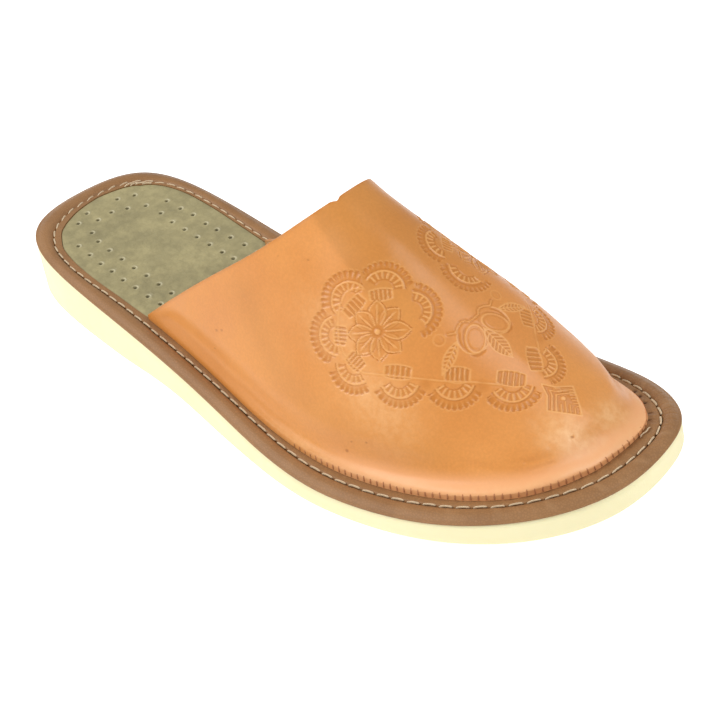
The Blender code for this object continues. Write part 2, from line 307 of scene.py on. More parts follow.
    def on_foam(self, way: Array, inset: Array, lift: Array) -> Array:
        """Places points over the foam's top, in the world.

        Args:
            way: places round the outline.
            inset: how far in from it.
            lift: height over the foam.

        Returns:
            A point a row.
        """
        plan = self.plan(way, inset)
        return self.world(np.column_stack([plan, self.top(plan[:, 0]) + lift]))

    def world(self, points: Array) -> Array:
        """Returns the points moved from the heel's back to the middle of the sole."""
        return points - np.append(self.centre, 0.0)


# Meshes


def flat_grid(columns: int, rows: int) -> Mesh:
    """A flat grid that spans 0 to 1 each way.

    Args:
        columns: cells along X.
        rows: cells along Y.

    Returns:
        The grid's mesh.
    """
    mesh = bmesh.new()
    bmesh.ops.create_grid(mesh, x_segments=columns, y_segments=rows, size=0.5)
    bmesh.ops.translate(mesh, verts=mesh.verts, vec=(0.5, 0.5, 0.0))
    return mesh


def coordinates(mesh: Mesh) -> Array:
    """Returns the mesh's points, one a row."""
    return np.array([vert.co[:] for vert in mesh.verts])


def place(mesh: Mesh, points: Array) -> None:
    """Moves the mesh's points to the given ones, one a row."""
    for vert, point in zip(mesh.verts, points):
        vert.co = point


def mark(mesh: Mesh, name: str, values: Array) -> None:
    """Stores a number for each point, for a material to read.

    Args:
        mesh: the mesh.
        name: the name that the material reads it by.
        values: a number for each point.
    """
    layer = mesh.verts.layers.float.new(name)
    for vert, value in zip(mesh.verts, values):
        vert[layer] = float(value)


def marked(mesh: Mesh, name: str) -> Array:
    """Returns the value of that name at each vertex."""
    layer = mesh.verts.layers.float[name]
    return np.array([vert[layer] for vert in mesh.verts])


def weld(mesh: Mesh, within: float = 2e-6) -> None:
    """Joins points that lie together."""
    bmesh.ops.remove_doubles(mesh, verts=mesh.verts, dist=within)


def store_flat(mesh: Mesh, name: str, values: Array) -> None:
    """Stores a UV map.

    Args:
        mesh: the mesh.
        name: the map's name.
        values: a row of two for each point.
    """
    layer = mesh.loops.layers.uv.new(name)
    mesh.verts.index_update()
    for face in mesh.faces:
        for loop in face.loops:
            loop[layer].uv = values[loop.vert.index]


@dataclass
class Piece:
    """One shown piece of the slipper."""

    name: str
    slot: str
    material: Material
    replaces: tuple[str, ...] = ()
    sharp_degrees: float = 40.0

    def finish(self, mesh: Mesh) -> Object:
        """Turns a bmesh into an object that rides on the slipper's one body.

        Args:
            mesh: the shape, in world metres. It is freed.

        Returns:
            The object.
        """
        bmesh.ops.recalc_face_normals(mesh, faces=mesh.faces)
        data = bpy.data.meshes.new(self.name)
        mesh.to_mesh(data)
        mesh.free()
        data.shade_smooth()
        data.set_sharp_from_angle(angle=math.radians(self.sharp_degrees))
        data.materials.append(self.material)
        piece = bpy.data.objects.new(self.name, data)
        bpy.context.scene.collection.objects.link(piece)
        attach(piece, "root")
        if self.replaces:
            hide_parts(*self.replaces)
        triangles = sum(len(face.vertices) - 2 for face in data.polygons)
        LOG.info("%s: %d triangles", self.name, triangles)
        return piece


# Finishes


Socket = bpy.types.NodeSocket
Colour = Triple


class Nodes:
    """A node tree under construction, of a material or of a group."""

    def __init__(self, tree: bpy.types.NodeTree) -> None:
        """Starts on a tree."""
        self.tree = tree

    def add(self, kind: str, **settings: object) -> bpy.types.Node:
        """Adds a node.

        Args:
            kind: its Blender type.
            **settings: properties to set on it.

        Returns:
            The node.
        """
        node = self.tree.nodes.new(kind)
        for name, value in settings.items():
            setattr(node, name, value)
        return node

    def join(self, source: Socket, target: Socket) -> None:
        """Links an output to an input."""
        self.tree.links.new(source, target)

    def feed(self, target: Socket, value: object) -> None:
        """Links a socket to an input, or sets a plain value on it.

        Args:
            target: the input.
            value: a socket, a number or a colour.
        """
        if isinstance(value, Socket):
            self.join(value, target)
        elif isinstance(value, tuple) and len(value) == 3 and target.type == "RGBA":
            target.default_value = (*value, 1.0)
        else:
            target.default_value = value

    def sum(self, operation: str, first: object, second: object = 0.0, third: object = 0.0) -> Socket:
        """A sum of up to three values.

        Args:
            operation: the Math node's operation.
            first: a socket or number.
            second: another.
            third: another.

        Returns:
            The result.
        """
        node = self.add("ShaderNodeMath", operation=operation)
        for socket, value in zip(node.inputs, (first, second, third)):
            self.feed(socket, value)
        return node.outputs[0]

    def between(self, value: object, low: float, high: float, to_low: float = 0.0, to_high: float = 1.0) -> Socket:
        """A value mapped softly from one range to another, and held at its ends.

        Args:
            value: the socket to map.
            low: the value that gives to_low.
            high: the value that gives to_high.
            to_low: the result at low.
            to_high: the result at high.

        Returns:
            The result.
        """
        node = self.add("ShaderNodeMapRange", interpolation_type="SMOOTHSTEP")
        for socket, given in zip(node.inputs, (value, low, high, to_low, to_high)):
            self.feed(socket, given)
        return node.outputs[0]

    def mix(self, share: object, first: object, second: object, blend: str = "MIX") -> Socket:
        """Two colours mixed.

        Args:
            share: how much of the second one, 0 to 1.
            first: a colour or socket.
            second: another.
            blend: the way of mixing.

        Returns:
            The colour.
        """
        node = self.add("ShaderNodeMix", data_type="RGBA", blend_type=blend)
        self.feed(node.inputs["Factor"], share)
        self.feed(node.inputs[6], first)
        self.feed(node.inputs[7], second)
        return node.outputs[2]

    def noise(self, vector: Socket, scale: float, detail: float = 3.0, roughness: float = 0.5) -> Socket:
        """A soft noise.

        Args:
            vector: the place.
            scale: waves in a metre.
            detail: how many finer layers it has.
            roughness: how strong those are.

        Returns:
            A value from 0 to 1.
        """
        node = self.add("ShaderNodeTexNoise")
        self.feed(node.inputs["Vector"], vector)
        for name, value in (("Scale", scale), ("Detail", detail), ("Roughness", roughness)):
            self.feed(node.inputs[name], value)
        return node.outputs["Fac"]

    def cells(self, vector: Socket, scale: float, feature: str = "F1") -> Socket:
        """A pattern of cells.

        Args:
            vector: the place.
            scale: cells in a metre.
            feature: F1 for the nearest centre, or DISTANCE_TO_EDGE.

        Returns:
            The distance to that feature.
        """
        node = self.add("ShaderNodeTexVoronoi", feature=feature)
        self.feed(node.inputs["Vector"], vector)
        self.feed(node.inputs["Scale"], scale)
        return node.outputs["Distance"]

    def tint(self, colour: Socket, name: str, share: float, target: Colour) -> Socket:
        """Returns a colour mixed toward another by a number that the mesh stores, times a share."""
        return self.mix(self.sum("MULTIPLY", self.attribute(name), share), colour, target)

    def shaded(self, colour: Socket, value: Socket, span: Range, tones: Range) -> Socket:
        """Returns a colour multiplied by a tone that follows a value over its span."""
        return self.mix(1.0, colour, self.between(value, *span, *tones), "MULTIPLY")

    def attribute(self, name: str) -> Socket:
        """Returns a number that the mesh stores for each point."""
        return self.add("ShaderNodeAttribute", attribute_name=name).outputs["Fac"]

    def place(self) -> Socket:
        """Returns the object coordinates."""
        return self.add("ShaderNodeTexCoord").outputs["Object"]

    def group(self, tree: bpy.types.NodeTree, **values: object) -> bpy.types.Node:
        """Places a shared group.

        Args:
            tree: the group.
            **values: what its inputs get, by their names.

        Returns:
            The group's node.
        """
        node = self.add("ShaderNodeGroup", node_tree=tree)
        for name, value in values.items():
            self.feed(node.inputs[name], value)
        return node

    def bump(self, height: Socket, distance: float, strength: float = 1.0, normal: Optional[Socket] = None) -> Socket:
        """A normal bent by a height.

        Args:
            height: the height, 0 to 1.
            distance: what 1 stands for, in metres.
            strength: how much of it is used.
            normal: the normal to start from, if it isn't the surface's.

        Returns:
            The normal.
        """
        node = self.add("ShaderNodeBump")
        node.inputs["Strength"].default_value = strength
        node.inputs["Distance"].default_value = distance
        self.join(height, node.inputs["Height"])
        if normal is not None:
            self.join(normal, node.inputs["Normal"])
        return node.outputs["Normal"]


class Shared(Enum):
    """The shader groups that several finishes use."""

    GRAIN = "leather_grain"
    MOTTLE = "mottled_colour"
    SPECKS = "worn_specks"


def shared_group(kind: Shared) -> bpy.types.NodeTree:
    """The group of a shared effect, built at its first use.

    Args:
        kind: which effect.

    Returns:
        The node group.
    """
    made = bpy.data.node_groups.get(kind.value)
    if made is not None:
        return made
    tree = bpy.data.node_groups.new(kind.value, "ShaderNodeTree")
    sides = {
        Shared.GRAIN: (("Vector", "Size"), ("Height",)),
        Shared.MOTTLE: (("Vector", "Size", "Light", "Dark", "Contrast"), ("Color",)),
        Shared.SPECKS: (("Vector", "Size", "Amount"), ("Mask",)),
    }[kind]
    kinds = {"Vector": "NodeSocketVector", "Light": "NodeSocketColor", "Dark": "NodeSocketColor"}
    kinds["Color"] = "NodeSocketColor"
    for names, direction in zip(sides, ("INPUT", "OUTPUT")):
        for name in names:
            tree.interface.new_socket(name, in_out=direction, socket_type=kinds.get(name, "NodeSocketFloat"))
    nodes = Nodes(tree)
    given, out = nodes.add("NodeGroupInput"), nodes.add("NodeGroupOutput")
    scaled = nodes.add("ShaderNodeVectorMath", operation="SCALE")
    nodes.join(given.outputs["Vector"], scaled.inputs[0])
    nodes.join(nodes.sum("DIVIDE", 1.0, given.outputs["Size"]), scaled.inputs["Scale"])
    vector = scaled.outputs[0]
    if kind is Shared.GRAIN:
        pebbles = nodes.between(nodes.cells(vector, 1.0, "DISTANCE_TO_EDGE"), 0.0, 0.28)
        pores = nodes.noise(vector, 2.6, 4.0, 0.6)
        folds = nodes.noise(vector, 0.35, 3.0, 0.5)
        height = nodes.sum("MULTIPLY_ADD", pores, 0.35, nodes.sum("MULTIPLY", pebbles, folds))
        nodes.join(height, out.inputs["Height"])
    elif kind is Shared.MOTTLE:
        broad = nodes.noise(vector, 1.0, 4.0, 0.55)
        low = nodes.sum("MULTIPLY_ADD", given.outputs["Contrast"], -0.5, 0.5)
        high = nodes.sum("MULTIPLY_ADD", given.outputs["Contrast"], 0.5, 0.5)
        share = nodes.between(broad, low, high)
        nodes.join(nodes.mix(share, given.outputs["Dark"], given.outputs["Light"]), out.inputs["Color"])
    else:
        spots = nodes.noise(vector, 1.0, 2.0, 0.5)
        limit = nodes.sum("SUBTRACT", 0.78, nodes.sum("MULTIPLY", given.outputs["Amount"], 0.3))
        over = nodes.sum("SUBTRACT", spots, limit)
        nodes.join(nodes.between(over, 0.0, 0.05), out.inputs["Mask"])
    return tree


@dataclass(frozen=True)
class Finish:
    """What every finish shares: a name, its colours and its gloss."""

    name: str
    light: Colour
    dark: Colour
    roughness: float

    def start(self) -> tuple[Material, Nodes, bpy.types.Node]:
        """Starts the material.

        Returns:
            The material, its nodes and its shader.
        """
        material = bpy.data.materials.new(self.name)
        material.use_nodes = True
        material.diffuse_color = (*self.light, 1.0)
        nodes = Nodes(material.node_tree)
        return material, nodes, material.node_tree.nodes["Principled BSDF"]

    def mottled(self, nodes: Nodes, place: Socket, size: float, contrast: float) -> Socket:
        """The light and dark colours in soft patches.

        Args:
            nodes: the material's nodes.
            place: the place on the piece.
            size: the patches' size, in metres.
            contrast: the change's width, where less is harder.

        Returns:
            The colour.
        """
        group = shared_group(Shared.MOTTLE)
        node = nodes.group(group, Vector=place, Size=size, Light=self.light, Dark=self.dark, Contrast=contrast)
        return node.outputs["Color"]


def paint(red: int, green: int, blue: int) -> Colour:
    """Returns a linear colour for one given as it looks, 0 to 255."""
    parts = [value / 255 for value in (red, green, blue)]
    return tuple(v / 12.92 if v <= 0.04045 else ((v + 0.055) / 1.055) ** 2.4 for v in parts)


@dataclass(frozen=True)
class TanLeather(Finish):
    """Smooth tooled leather: pressed parts are darker, raised lines are paler, and the inside is rough. A painted
    sheen, painted highlight patches and painted shade lie over it.
    """

    pressed: Colour = (0.50, 0.165, 0.018)
    raised: Colour = (0.84, 0.44, 0.15)
    dirt: Colour = (0.30, 0.08, 0.015)
    # painted sheen: a pinker, paler colour low on the front that stands in for a sheen
    painted_sheen: Colour = (0.88, 0.43, 0.20)
    # painted highlight: a paler colour that stands in for soft reflections and for light on the shaded foot band
    pale: Colour = (0.86, 0.50, 0.23)
    # painted shade: darkens the far side beyond a reflection's edge, and the stain streak
    shade: Colour = (0.85, 0.86, 0.80)
    flesh: Colour = paint(205, 160, 112)
    grain_size: float = 0.0008

    def build(self) -> Material:
        """Builds the finish.

        Returns:
            The material.
        """
        material, nodes, shader = self.start()
        place_at = nodes.place()
        colour = self.mottled(nodes, place_at, 0.034, 0.75)
        # painted shade beyond a reflection's edge, with the stain streak
        colour = nodes.mix(nodes.attribute("deep"), colour, nodes.mix(1.0, colour, self.shade, "MULTIPLY"))
        colour = nodes.shaded(colour, nodes.noise(place_at, 1100.0, 3.0, 0.6), (0.3, 0.75), (0.95, 1.03))
        # painted sheen over the band low on the front
        colour = nodes.tint(colour, "sheen_band", 0.8, self.painted_sheen)
        # painted highlight patches, broken up by a soft cloud
        cloud = nodes.between(nodes.noise(place_at, 420.0, 3.0, 0.6), 0.3, 0.7, 0.35, 0.85)
        colour = nodes.mix(nodes.sum("MULTIPLY", nodes.attribute("pale"), cloud), colour, self.pale)
        colour = nodes.tint(colour, "foot", 0.7, self.pressed)
        colour = nodes.tint(colour, "press", 0.75, self.pressed)
        colour = nodes.tint(colour, "ridge", 0.55, self.raised)
        specks = nodes.group(shared_group(Shared.SPECKS), Vector=place_at, Size=0.0035, Amount=0.05)
        colour = nodes.mix(nodes.sum("MULTIPLY", specks.outputs["Mask"], 0.35), colour, self.dirt)
        colour = nodes.tint(colour, "spot", 0.6, self.dirt)
        rough = nodes.attribute("rough")
        colour = nodes.mix(rough, colour, self.flesh)
        nodes.join(colour, shader.inputs["Base Color"])
        uneven = nodes.noise(place_at, 60.0, 3.0, 0.5)
        gloss = nodes.between(uneven, 0.2, 0.8, self.roughness - 0.05, self.roughness + 0.08)
        nodes.join(nodes.sum("MULTIPLY_ADD", rough, 0.4, gloss), shader.inputs["Roughness"])
        grain = nodes.group(shared_group(Shared.GRAIN), Vector=place_at, Size=self.grain_size)
        dimples = nodes.noise(place_at, 150.0, 2.0, 0.5)
        normal = nodes.bump(dimples, 0.00025, 0.35)
        nap = nodes.noise(place_at, 1800.0, 4.0, 0.7)
        normal = nodes.bump(nodes.sum("MULTIPLY", nap, rough), 0.00030, 0.8, normal)
        nodes.join(nodes.bump(grain.outputs["Height"], 0.00004, 0.45, normal), shader.inputs["Normal"])
        shader.inputs["Specular IOR Level"].default_value = 0.42
        return material


@dataclass(frozen=True)
class BrownLeather(Finish):
    """The binding's grained leather, rubbed paler in places, with painted shade in its needle holes and nicks."""

    # painted shade in the needle holes and nicks
    hole: Colour = (0.085, 0.038, 0.017)
    worn: Colour = (0.46, 0.27, 0.135)
    grain_size: float = 0.0009

    def build(self) -> Material:
        """Builds the finish.

        Returns:
            The material.
        """
        material, nodes, shader = self.start()
        place_at = nodes.place()
        colour = self.mottled(nodes, place_at, 0.020, 0.8)
        grain = nodes.group(shared_group(Shared.GRAIN), Vector=place_at, Size=self.grain_size)
        height = grain.outputs["Height"]
        colour = nodes.shaded(colour, height, (0.1, 0.7), (0.88, 1.05))
        specks = nodes.group(shared_group(Shared.SPECKS), Vector=place_at, Size=0.0016, Amount=0.22)
        colour = nodes.mix(nodes.sum("MULTIPLY", specks.outputs["Mask"], 0.30), colour, self.worn)
        colour = nodes.tint(colour, "rub", 0.35, self.worn)
        # painted shade in the needle holes and nicks
        colour = nodes.mix(nodes.attribute("hole"), colour, self.hole)
        nodes.join(colour, shader.inputs["Base Color"])
        shader.inputs["Roughness"].default_value = self.roughness
        shader.inputs["Specular IOR Level"].default_value = 0.28
        pores = nodes.noise(place_at, 2600.0, 3.0, 0.6)
        normal = nodes.bump(height, 0.00010, 0.6)
        nodes.join(nodes.bump(pores, 0.00003, 0.5, normal), shader.inputs["Normal"])
        return material


@dataclass(frozen=True)
class OliveLeather(Finish):
    """The sock's pebbled leather in two soft tones, pale on its pebbles, with painted shade in its air holes and a
    painted highlight on the lit side of their lips.
    """

    # painted shade in the air holes
    hole: Colour = paint(62, 58, 36)
    # painted highlight on the lit side of the holes' lips
    lip: Colour = paint(214, 206, 172)
    grain_size: float = 0.0026

    def build(self) -> Material:
        """Builds the finish.

        Returns:
            The material.
        """
        material, nodes, shader = self.start()
        place_at = nodes.place()
        colour = self.mottled(nodes, place_at, 0.012, 0.6)
        grain = nodes.group(shared_group(Shared.GRAIN), Vector=place_at, Size=self.grain_size)
        height = grain.outputs["Height"]
        colour = nodes.shaded(colour, height, (0.05, 0.7), (0.97, 1.02))
        colour = nodes.shaded(colour, nodes.noise(place_at, 30.0, 2.0, 0.5), (0.34, 0.66), (0.93, 1.04))
        colour = nodes.shaded(colour, nodes.noise(place_at, 260.0, 2.0, 0.5), (0.32, 0.68), (0.92, 1.08))
        # painted highlight on the lit side of the holes' lips
        colour = nodes.tint(colour, "lip", 0.75, self.lip)
        # painted shade in the air holes
        colour = nodes.mix(nodes.attribute("hole"), colour, self.hole)
        nodes.join(colour, shader.inputs["Base Color"])
        gloss = nodes.between(height, 0.1, 0.8, self.roughness + 0.12, self.roughness - 0.05)
        nodes.join(gloss, shader.inputs["Roughness"])
        shader.inputs["Specular IOR Level"].default_value = 0.35
        folds = nodes.noise(place_at, 200.0, 3.0, 0.5)
        normal = nodes.bump(folds, 0.0009, 0.9)
        nodes.join(nodes.bump(height, 0.00016, 0.5, normal), shader.inputs["Normal"])
        return material


@dataclass(frozen=True)
class CreamFoam(Finish):
    """Closed-cell foam with a fine skin and small pores."""

    def build(self) -> Material:
        """Builds the finish.

        Returns:
            The material.
        """
        material, nodes, shader = self.start()
        place_at = nodes.place()
        colour = self.mottled(nodes, place_at, 0.030, 0.7)
        nodes.join(colour, shader.inputs["Base Color"])
        shader.inputs["Roughness"].default_value = self.roughness
        shader.inputs["Subsurface Weight"].default_value = 0.15
        shader.inputs["Subsurface Radius"].default_value = (0.002, 0.0016, 0.001)
        shader.inputs["Subsurface Scale"].default_value = 1.0
        pores = nodes.cells(place_at, 1500.0)
        normal = nodes.bump(pores, 0.00006, 0.5)
        waves = nodes.noise(place_at, 90.0, 2.0, 0.5)
        nodes.join(nodes.bump(waves, 0.0002, 0.3, normal), shader.inputs["Normal"])
        return material


@dataclass(frozen=True)
class Thread(Finish):
    """Twisted thread, with its strands on the stitch's own UV map."""

    strands: float = 5.0

    def build(self) -> Material:
        """Builds the finish.

        Returns:
            The material.
        """
        material, nodes, shader = self.start()
        uv = nodes.add("ShaderNodeUVMap", uv_map="stitch").outputs["UV"]
        parts = nodes.add("ShaderNodeSeparateXYZ")
        nodes.join(uv, parts.inputs[0])
        twist = nodes.sum("ADD", nodes.sum("MULTIPLY", parts.outputs[0], 2.0), parts.outputs[1])
        wave = nodes.sum("SINE", nodes.sum("MULTIPLY", twist, 2 * math.pi * self.strands / 2))
        share = nodes.between(wave, -1.0, 0.4)
        nodes.join(nodes.mix(share, self.dark, self.light), shader.inputs["Base Color"])
        shader.inputs["Roughness"].default_value = self.roughness
        nodes.join(nodes.bump(wave, 0.00012, 0.7), shader.inputs["Normal"])
        return material


# The pieces


class SectionPoint(NamedTuple):
    """A point of the binding's section: shares of the roll's and the strip's width, and of their heights."""

    roll: float
    strip: float
    crown: float
    flat: float


@dataclass
class Outsole:
    """The cream foam wedge under everything."""

    sole: Sole
    shoulder: float = 0.0006
    columns: int = 840
    rows_across: int = 14
    rows_up: int = 10

    def wall(self) -> Mesh:
        """The side, from the rounded lower edge to the softly rounded top one.

        Returns:
            The side's mesh, open above and below.
        """
        sole = self.sole
        inset = (sole.rounding - sole.flare, 0.45 * sole.rounding - sole.flare, -sole.flare)
        lift = (0.0, 0.12 * sole.rounding, 0.75 * sole.rounding)
        mesh = flat_grid(self.columns, self.rows_up)
        flat = coordinates(mesh)
        way, rise = flat[:, 0], flat[:, 1]
        low = np.minimum(rise * self.rows_up, 2.0)
        side_in = np.interp(low, (0, 1, 2), inset)
        side_up = np.interp(low, (0, 1, 2), lift)
        high = np.clip((rise * self.rows_up - 2.0) / (self.rows_up - 2.0), 0.0, 1.0)
        side_in = side_in * (1 - high) + self.shoulder * step(high, 0.86, 1.0)
        plan = sole.plan(way, side_in)
        base = sole.bottom(plan[:, 0]) + side_up
        crest = sole.top(plan[:, 0]) - 0.0004 * (high < 1.0)
        z = base + (crest - base) * high
        place(mesh, sole.world(np.column_stack([plan, z])))
        return mesh

    def cap(self, inset: float, height: Callable[[Array], Array]) -> Mesh:
        """One face across the sole.

        Args:
            inset: how far in from the outline its rim lies.
            height: the height at each x.

        Returns:
            The face's mesh.
        """
        mesh = flat_grid(self.columns // 2, self.rows_across)
        flat = coordinates(mesh)
        outer = self.sole.plan(flat[:, 0] / 2, np.full(len(flat), inset))
        inner = self.sole.plan(1.0 - flat[:, 0] / 2, np.full(len(flat), inset))
        plan = outer + (inner - outer) * flat[:, 1:2]
        place(mesh, self.sole.world(np.column_stack([plan, height(plan[:, 0])])))
        return mesh

    def build(self, material: Material) -> Object:
        """Builds the piece.

        Args:
            material: its finish.

        Returns:
            The finished object.
        """
        mesh = joined([
            self.wall(),
            self.cap(self.sole.rounding - self.sole.flare, self.sole.bottom),
            self.cap(self.shoulder, self.sole.top),
        ])
        weld(mesh, 2e-5)
        return Piece("outsole_foam", "cream_foam", material, ("outsole",)).finish(mesh)


class Scallop(NamedTuple):
    """A half round of the border: its centre, radii and arcs, in flat millimetres and degrees."""

    across: float
    along: float
    line: float
    rim: float
    fringe_from: float
    fringe_to: float
    line_from: float
    line_to: float


class Ladder(NamedTuple):
    """A pressed bar with rungs, between two points."""

    start: Spot
    end: Spot
    width: float


class Relief:
    """The pressed and the raised parts of the ornament over a set of flat points."""

    def __init__(self, across: Array, along: Array) -> None:
        """Starts with plain leather.

        Args:
            across: each point's distance from the ridge, in millimetres.
            along: its distance from the throat.
        """
        self.across, self.along = across, along
        self.press = np.zeros(len(across))
        self.ridge = np.zeros(len(across))

    def sink(self, mask: Array) -> None:
        """Presses where the mask is 1."""
        self.press = np.maximum(self.press, mask)
        self.ridge = self.ridge * (1 - np.clip(mask, 0.0, 1.0))

    def lift(self, mask: Array) -> None:
        """Leaves a raised line where the mask is 1."""
        self.ridge = np.maximum(self.ridge, mask)
        self.press = self.press * (1 - mask)

    def frame_of(self, start: Spot, end: Spot) -> tuple[Array, Array, float]:
        """Coordinates along and across a line.

        Args:
            start: the line's start.
            end: its end.

        Returns:
            The distance from the start along the line, the distance across it, and the line's length.
        """
        length = math.hypot(end[0] - start[0], end[1] - start[1])
        east, south = (end[0] - start[0]) / length, (end[1] - start[1]) / length
        x, y = self.across - start[0], self.along - start[1]
        return x * east + y * south, y * east - x * south, length

    def path(self, points: Sequence[Spot]) -> Array:
        """The distance to a line.

        Args:
            points: the line's corners, in order.

        Returns:
            Each point's distance to its nearest part.
        """
        best = np.full(len(self.across), 99.0)
        for start, end in zip(points, points[1:]):
            u, v, length = self.frame_of(start, end)
            over = u - np.clip(u, 0.0, length)
            best = np.minimum(best, np.hypot(over, v))
        return best

    def inside(self, corners: Sequence[Spot]) -> Array:
        """The points inside a polygon.

        Args:
            corners: its corners, in order.

        Returns:
            True for each point inside it.
        """
        hit = np.zeros(len(self.across), bool)
        for (x1, y1), (x2, y2) in zip(corners, list(corners[1:]) + [corners[0]]):
            crosses = (y1 > self.along) != (y2 > self.along)
            place_at = x1 + (self.along - y1) / ((y2 - y1) or 1e-9) * (x2 - x1)
            hit ^= crosses & (self.across < place_at)
        return hit


def line(distance: Array, half: float, soft: float = 0.12) -> Array:
    """Returns 1 on a line of this half width and 0 off it, with a soft edge."""
    return 1 - step(np.abs(distance), half - soft, half + soft)


@dataclass
class Ornament:
    """The folk ornament pressed into the vamp: a heart of scallops round two flowers, a tulip and a kite.

    Flat places are millimetres: across from the ridge, less than 0 on the outer side, and along from the throat.
    """

    axis: float = -2.7
    depth: float = 0.30
    scallops: tuple[Scallop, ...] = (
        Scallop(-27.6, 27.8, 6.5, 10.5, 12, 150, -6, 177),
        Scallop(-39.5, 32.5, 6.6, 10.6, 68, 207, 57, 233),
        Scallop(-42.0, 43.5, 6.5, 10.2, 152, 258, 132, 261),
        Scallop(-34.0, 57.3, 6.4, 9.8, 164, 290, 160, 296),
        Scallop(-21.5, 69.5, 6.4, 10.0, 168, 290, 165, 300),
        Scallop(-9.0, 82.5, 6.4, 9.8, 170, 294, 165, 305),
        Scallop(-17.0, 33.3, 6.3, 9.5, -35, 95, -42, 105),
        Scallop(-15.5, 44.5, 6.0, 9.6, -115, 38, -95, 45),
    )
    ladders: tuple[Ladder, ...] = (
        Ladder((-31.8, 30.0), (-23.6, 30.0), 4.0),
        Ladder((-41.0, 35.4), (-36.0, 31.2), 4.0),
        Ladder((-41.0, 39.8), (-41.0, 46.2), 4.5),
        Ladder((-35.8, 52.1), (-30.1, 58.8), 4.0),
        Ladder((-22.4, 66.5), (-17.1, 72.0), 4.3),
        Ladder((-11.0, 78.1), (-5.4, 84.8), 4.2),
        Ladder((-21.5, 31.5), (-16.0, 36.0), 3.3),
    )
    cord: tuple[Spot, ...] = (
        (-21.3, 28.5), (-23.6, 25.8), (-26.7, 24.8), (-31.7, 26.4), (-36.3, 29.8), (-40.2, 33.8), (-42.0, 38.2),
        (-42.6, 43.0), (-41.5, 47.7), (-37.2, 52.6), (-30.5, 60.5), (-24.5, 67.5), (-17.0, 75.0), (-12.3, 80.5),
    )
    flower: Spot = (-28.4, 41.4)
    petals: tuple[Spot, ...] = (
        (-18.0, 41.0), (-21.0, 34.2), (-29.0, 32.0), (-36.2, 35.0),
        (-38.5, 41.8), (-34.5, 48.7), (-27.5, 51.3), (-20.0, 48.6),
    )

    def read(self, across: Array, along: Array) -> Relief:
        """The ornament over flat points.

        Args:
            across: each point's distance from the ridge, in millimetres.
            along: its distance from the throat.

        Returns:
            Its pressed and raised parts.
        """
        folded = self.axis - np.abs(across - self.axis)
        half = Relief(folded, along)
        self.border(half)
        for bar in self.ladders:
            self.ladder(half, bar)
        cord = half.path(self.cord)
        half.sink(0.22 * line(cord, 0.75, 0.3))
        half.lift(0.8 * line(cord, 0.24))
        for wedge in ((-29.0, 64.6), (-16.6, 77.2)):
            half.sink(0.5 * (1 - step(np.hypot(folded - wedge[0], along - wedge[1]), 0.6, 3.0)))
        self.blossom(half)
        self.tulip(half)
        whole = Relief(across, along)
        whole.press, whole.ridge = half.press, half.ridge
        self.kite(whole)
        return whole

    def border(self, relief: Relief) -> None:
        """Adds the scallops: a comb outside a pale arc, and rays inside it.

        Args:
            relief: what it is added to.
        """
        gaps = np.stack([np.hypot(relief.across - s.across, relief.along - s.along) for s in self.scallops])
        nearest = np.argmin(gaps, axis=0)
        for index, arc in enumerate(self.scallops):
            mine = nearest == index
            radius = gaps[index]
            angle = np.degrees(np.arctan2(-(relief.along - arc.along), relief.across - arc.across))
            fringe = mine & (np.mod(angle - arc.fringe_from, 360) < arc.fringe_to - arc.fringe_from)
            ray = mine & (np.mod(angle - arc.line_from, 360) < arc.line_to - arc.line_from)
            tooth = np.abs(turned(angle / 11.5)) * 2
            reach = arc.rim - 1.1 * tooth**3
            comb = step(radius, 7.0, 7.3) * (1 - step(radius, reach - 0.2, reach + 0.2))
            fall = 0.40 + 0.60 * step(radius + 1.6 * (1 - tooth), 7.6, arc.rim + 0.6)
            relief.sink(fringe * comb * fall)
            relief.lift(fringe * comb * step(tooth, 0.78, 0.95) * step(radius, 7.6, 8.8))
            relief.lift(0.5 * fringe * line(radius - reach - 0.25, 0.22))
            bed = step(radius, arc.line + 0.15, arc.line + 0.4) * (1 - step(radius, 7.1, 7.4))
            relief.sink(ray * 0.85 * bed)
            band = step(radius, 3.5, 3.8) * (1 - step(radius, 5.9, 6.2))
            relief.sink(ray * 0.7 * band)
            spoke = np.abs(turned(angle / 20.0)) * 20.0 * math.pi / 180 * radius
            relief.lift(ray * band * (1 - step(spoke, 0.16, 0.40)))
            relief.sink(ray * 0.8 * line(radius - 3.4, 0.22))
            relief.lift(ray * line(radius - arc.line, 0.27))

    def ladder(self, relief: Relief, bar: Ladder) -> None:
        """Adds one bar of five pressed cells.

        Args:
            relief: what it is added to.
            bar: the bar's place and width.
        """
        u, v, length = relief.frame_of(bar.start, bar.end)
        half = bar.width / 2 * (1.14 - 0.30 * ((2 * u / length - 1) ** 2))
        inner = line(v / half, 1.0, 0.07) * line(u - length / 2, length / 2)
        outer = line(v / (half + 0.4), 1.0, 0.07) * line(u - length / 2, length / 2 + 0.4)
        relief.lift(outer)
        relief.sink(0.9 * inner)
        rung = (0.5 - np.abs(turned(u / length * 5))) * length / 5
        relief.lift(inner * (1 - step(rung, 0.10, 0.30)))

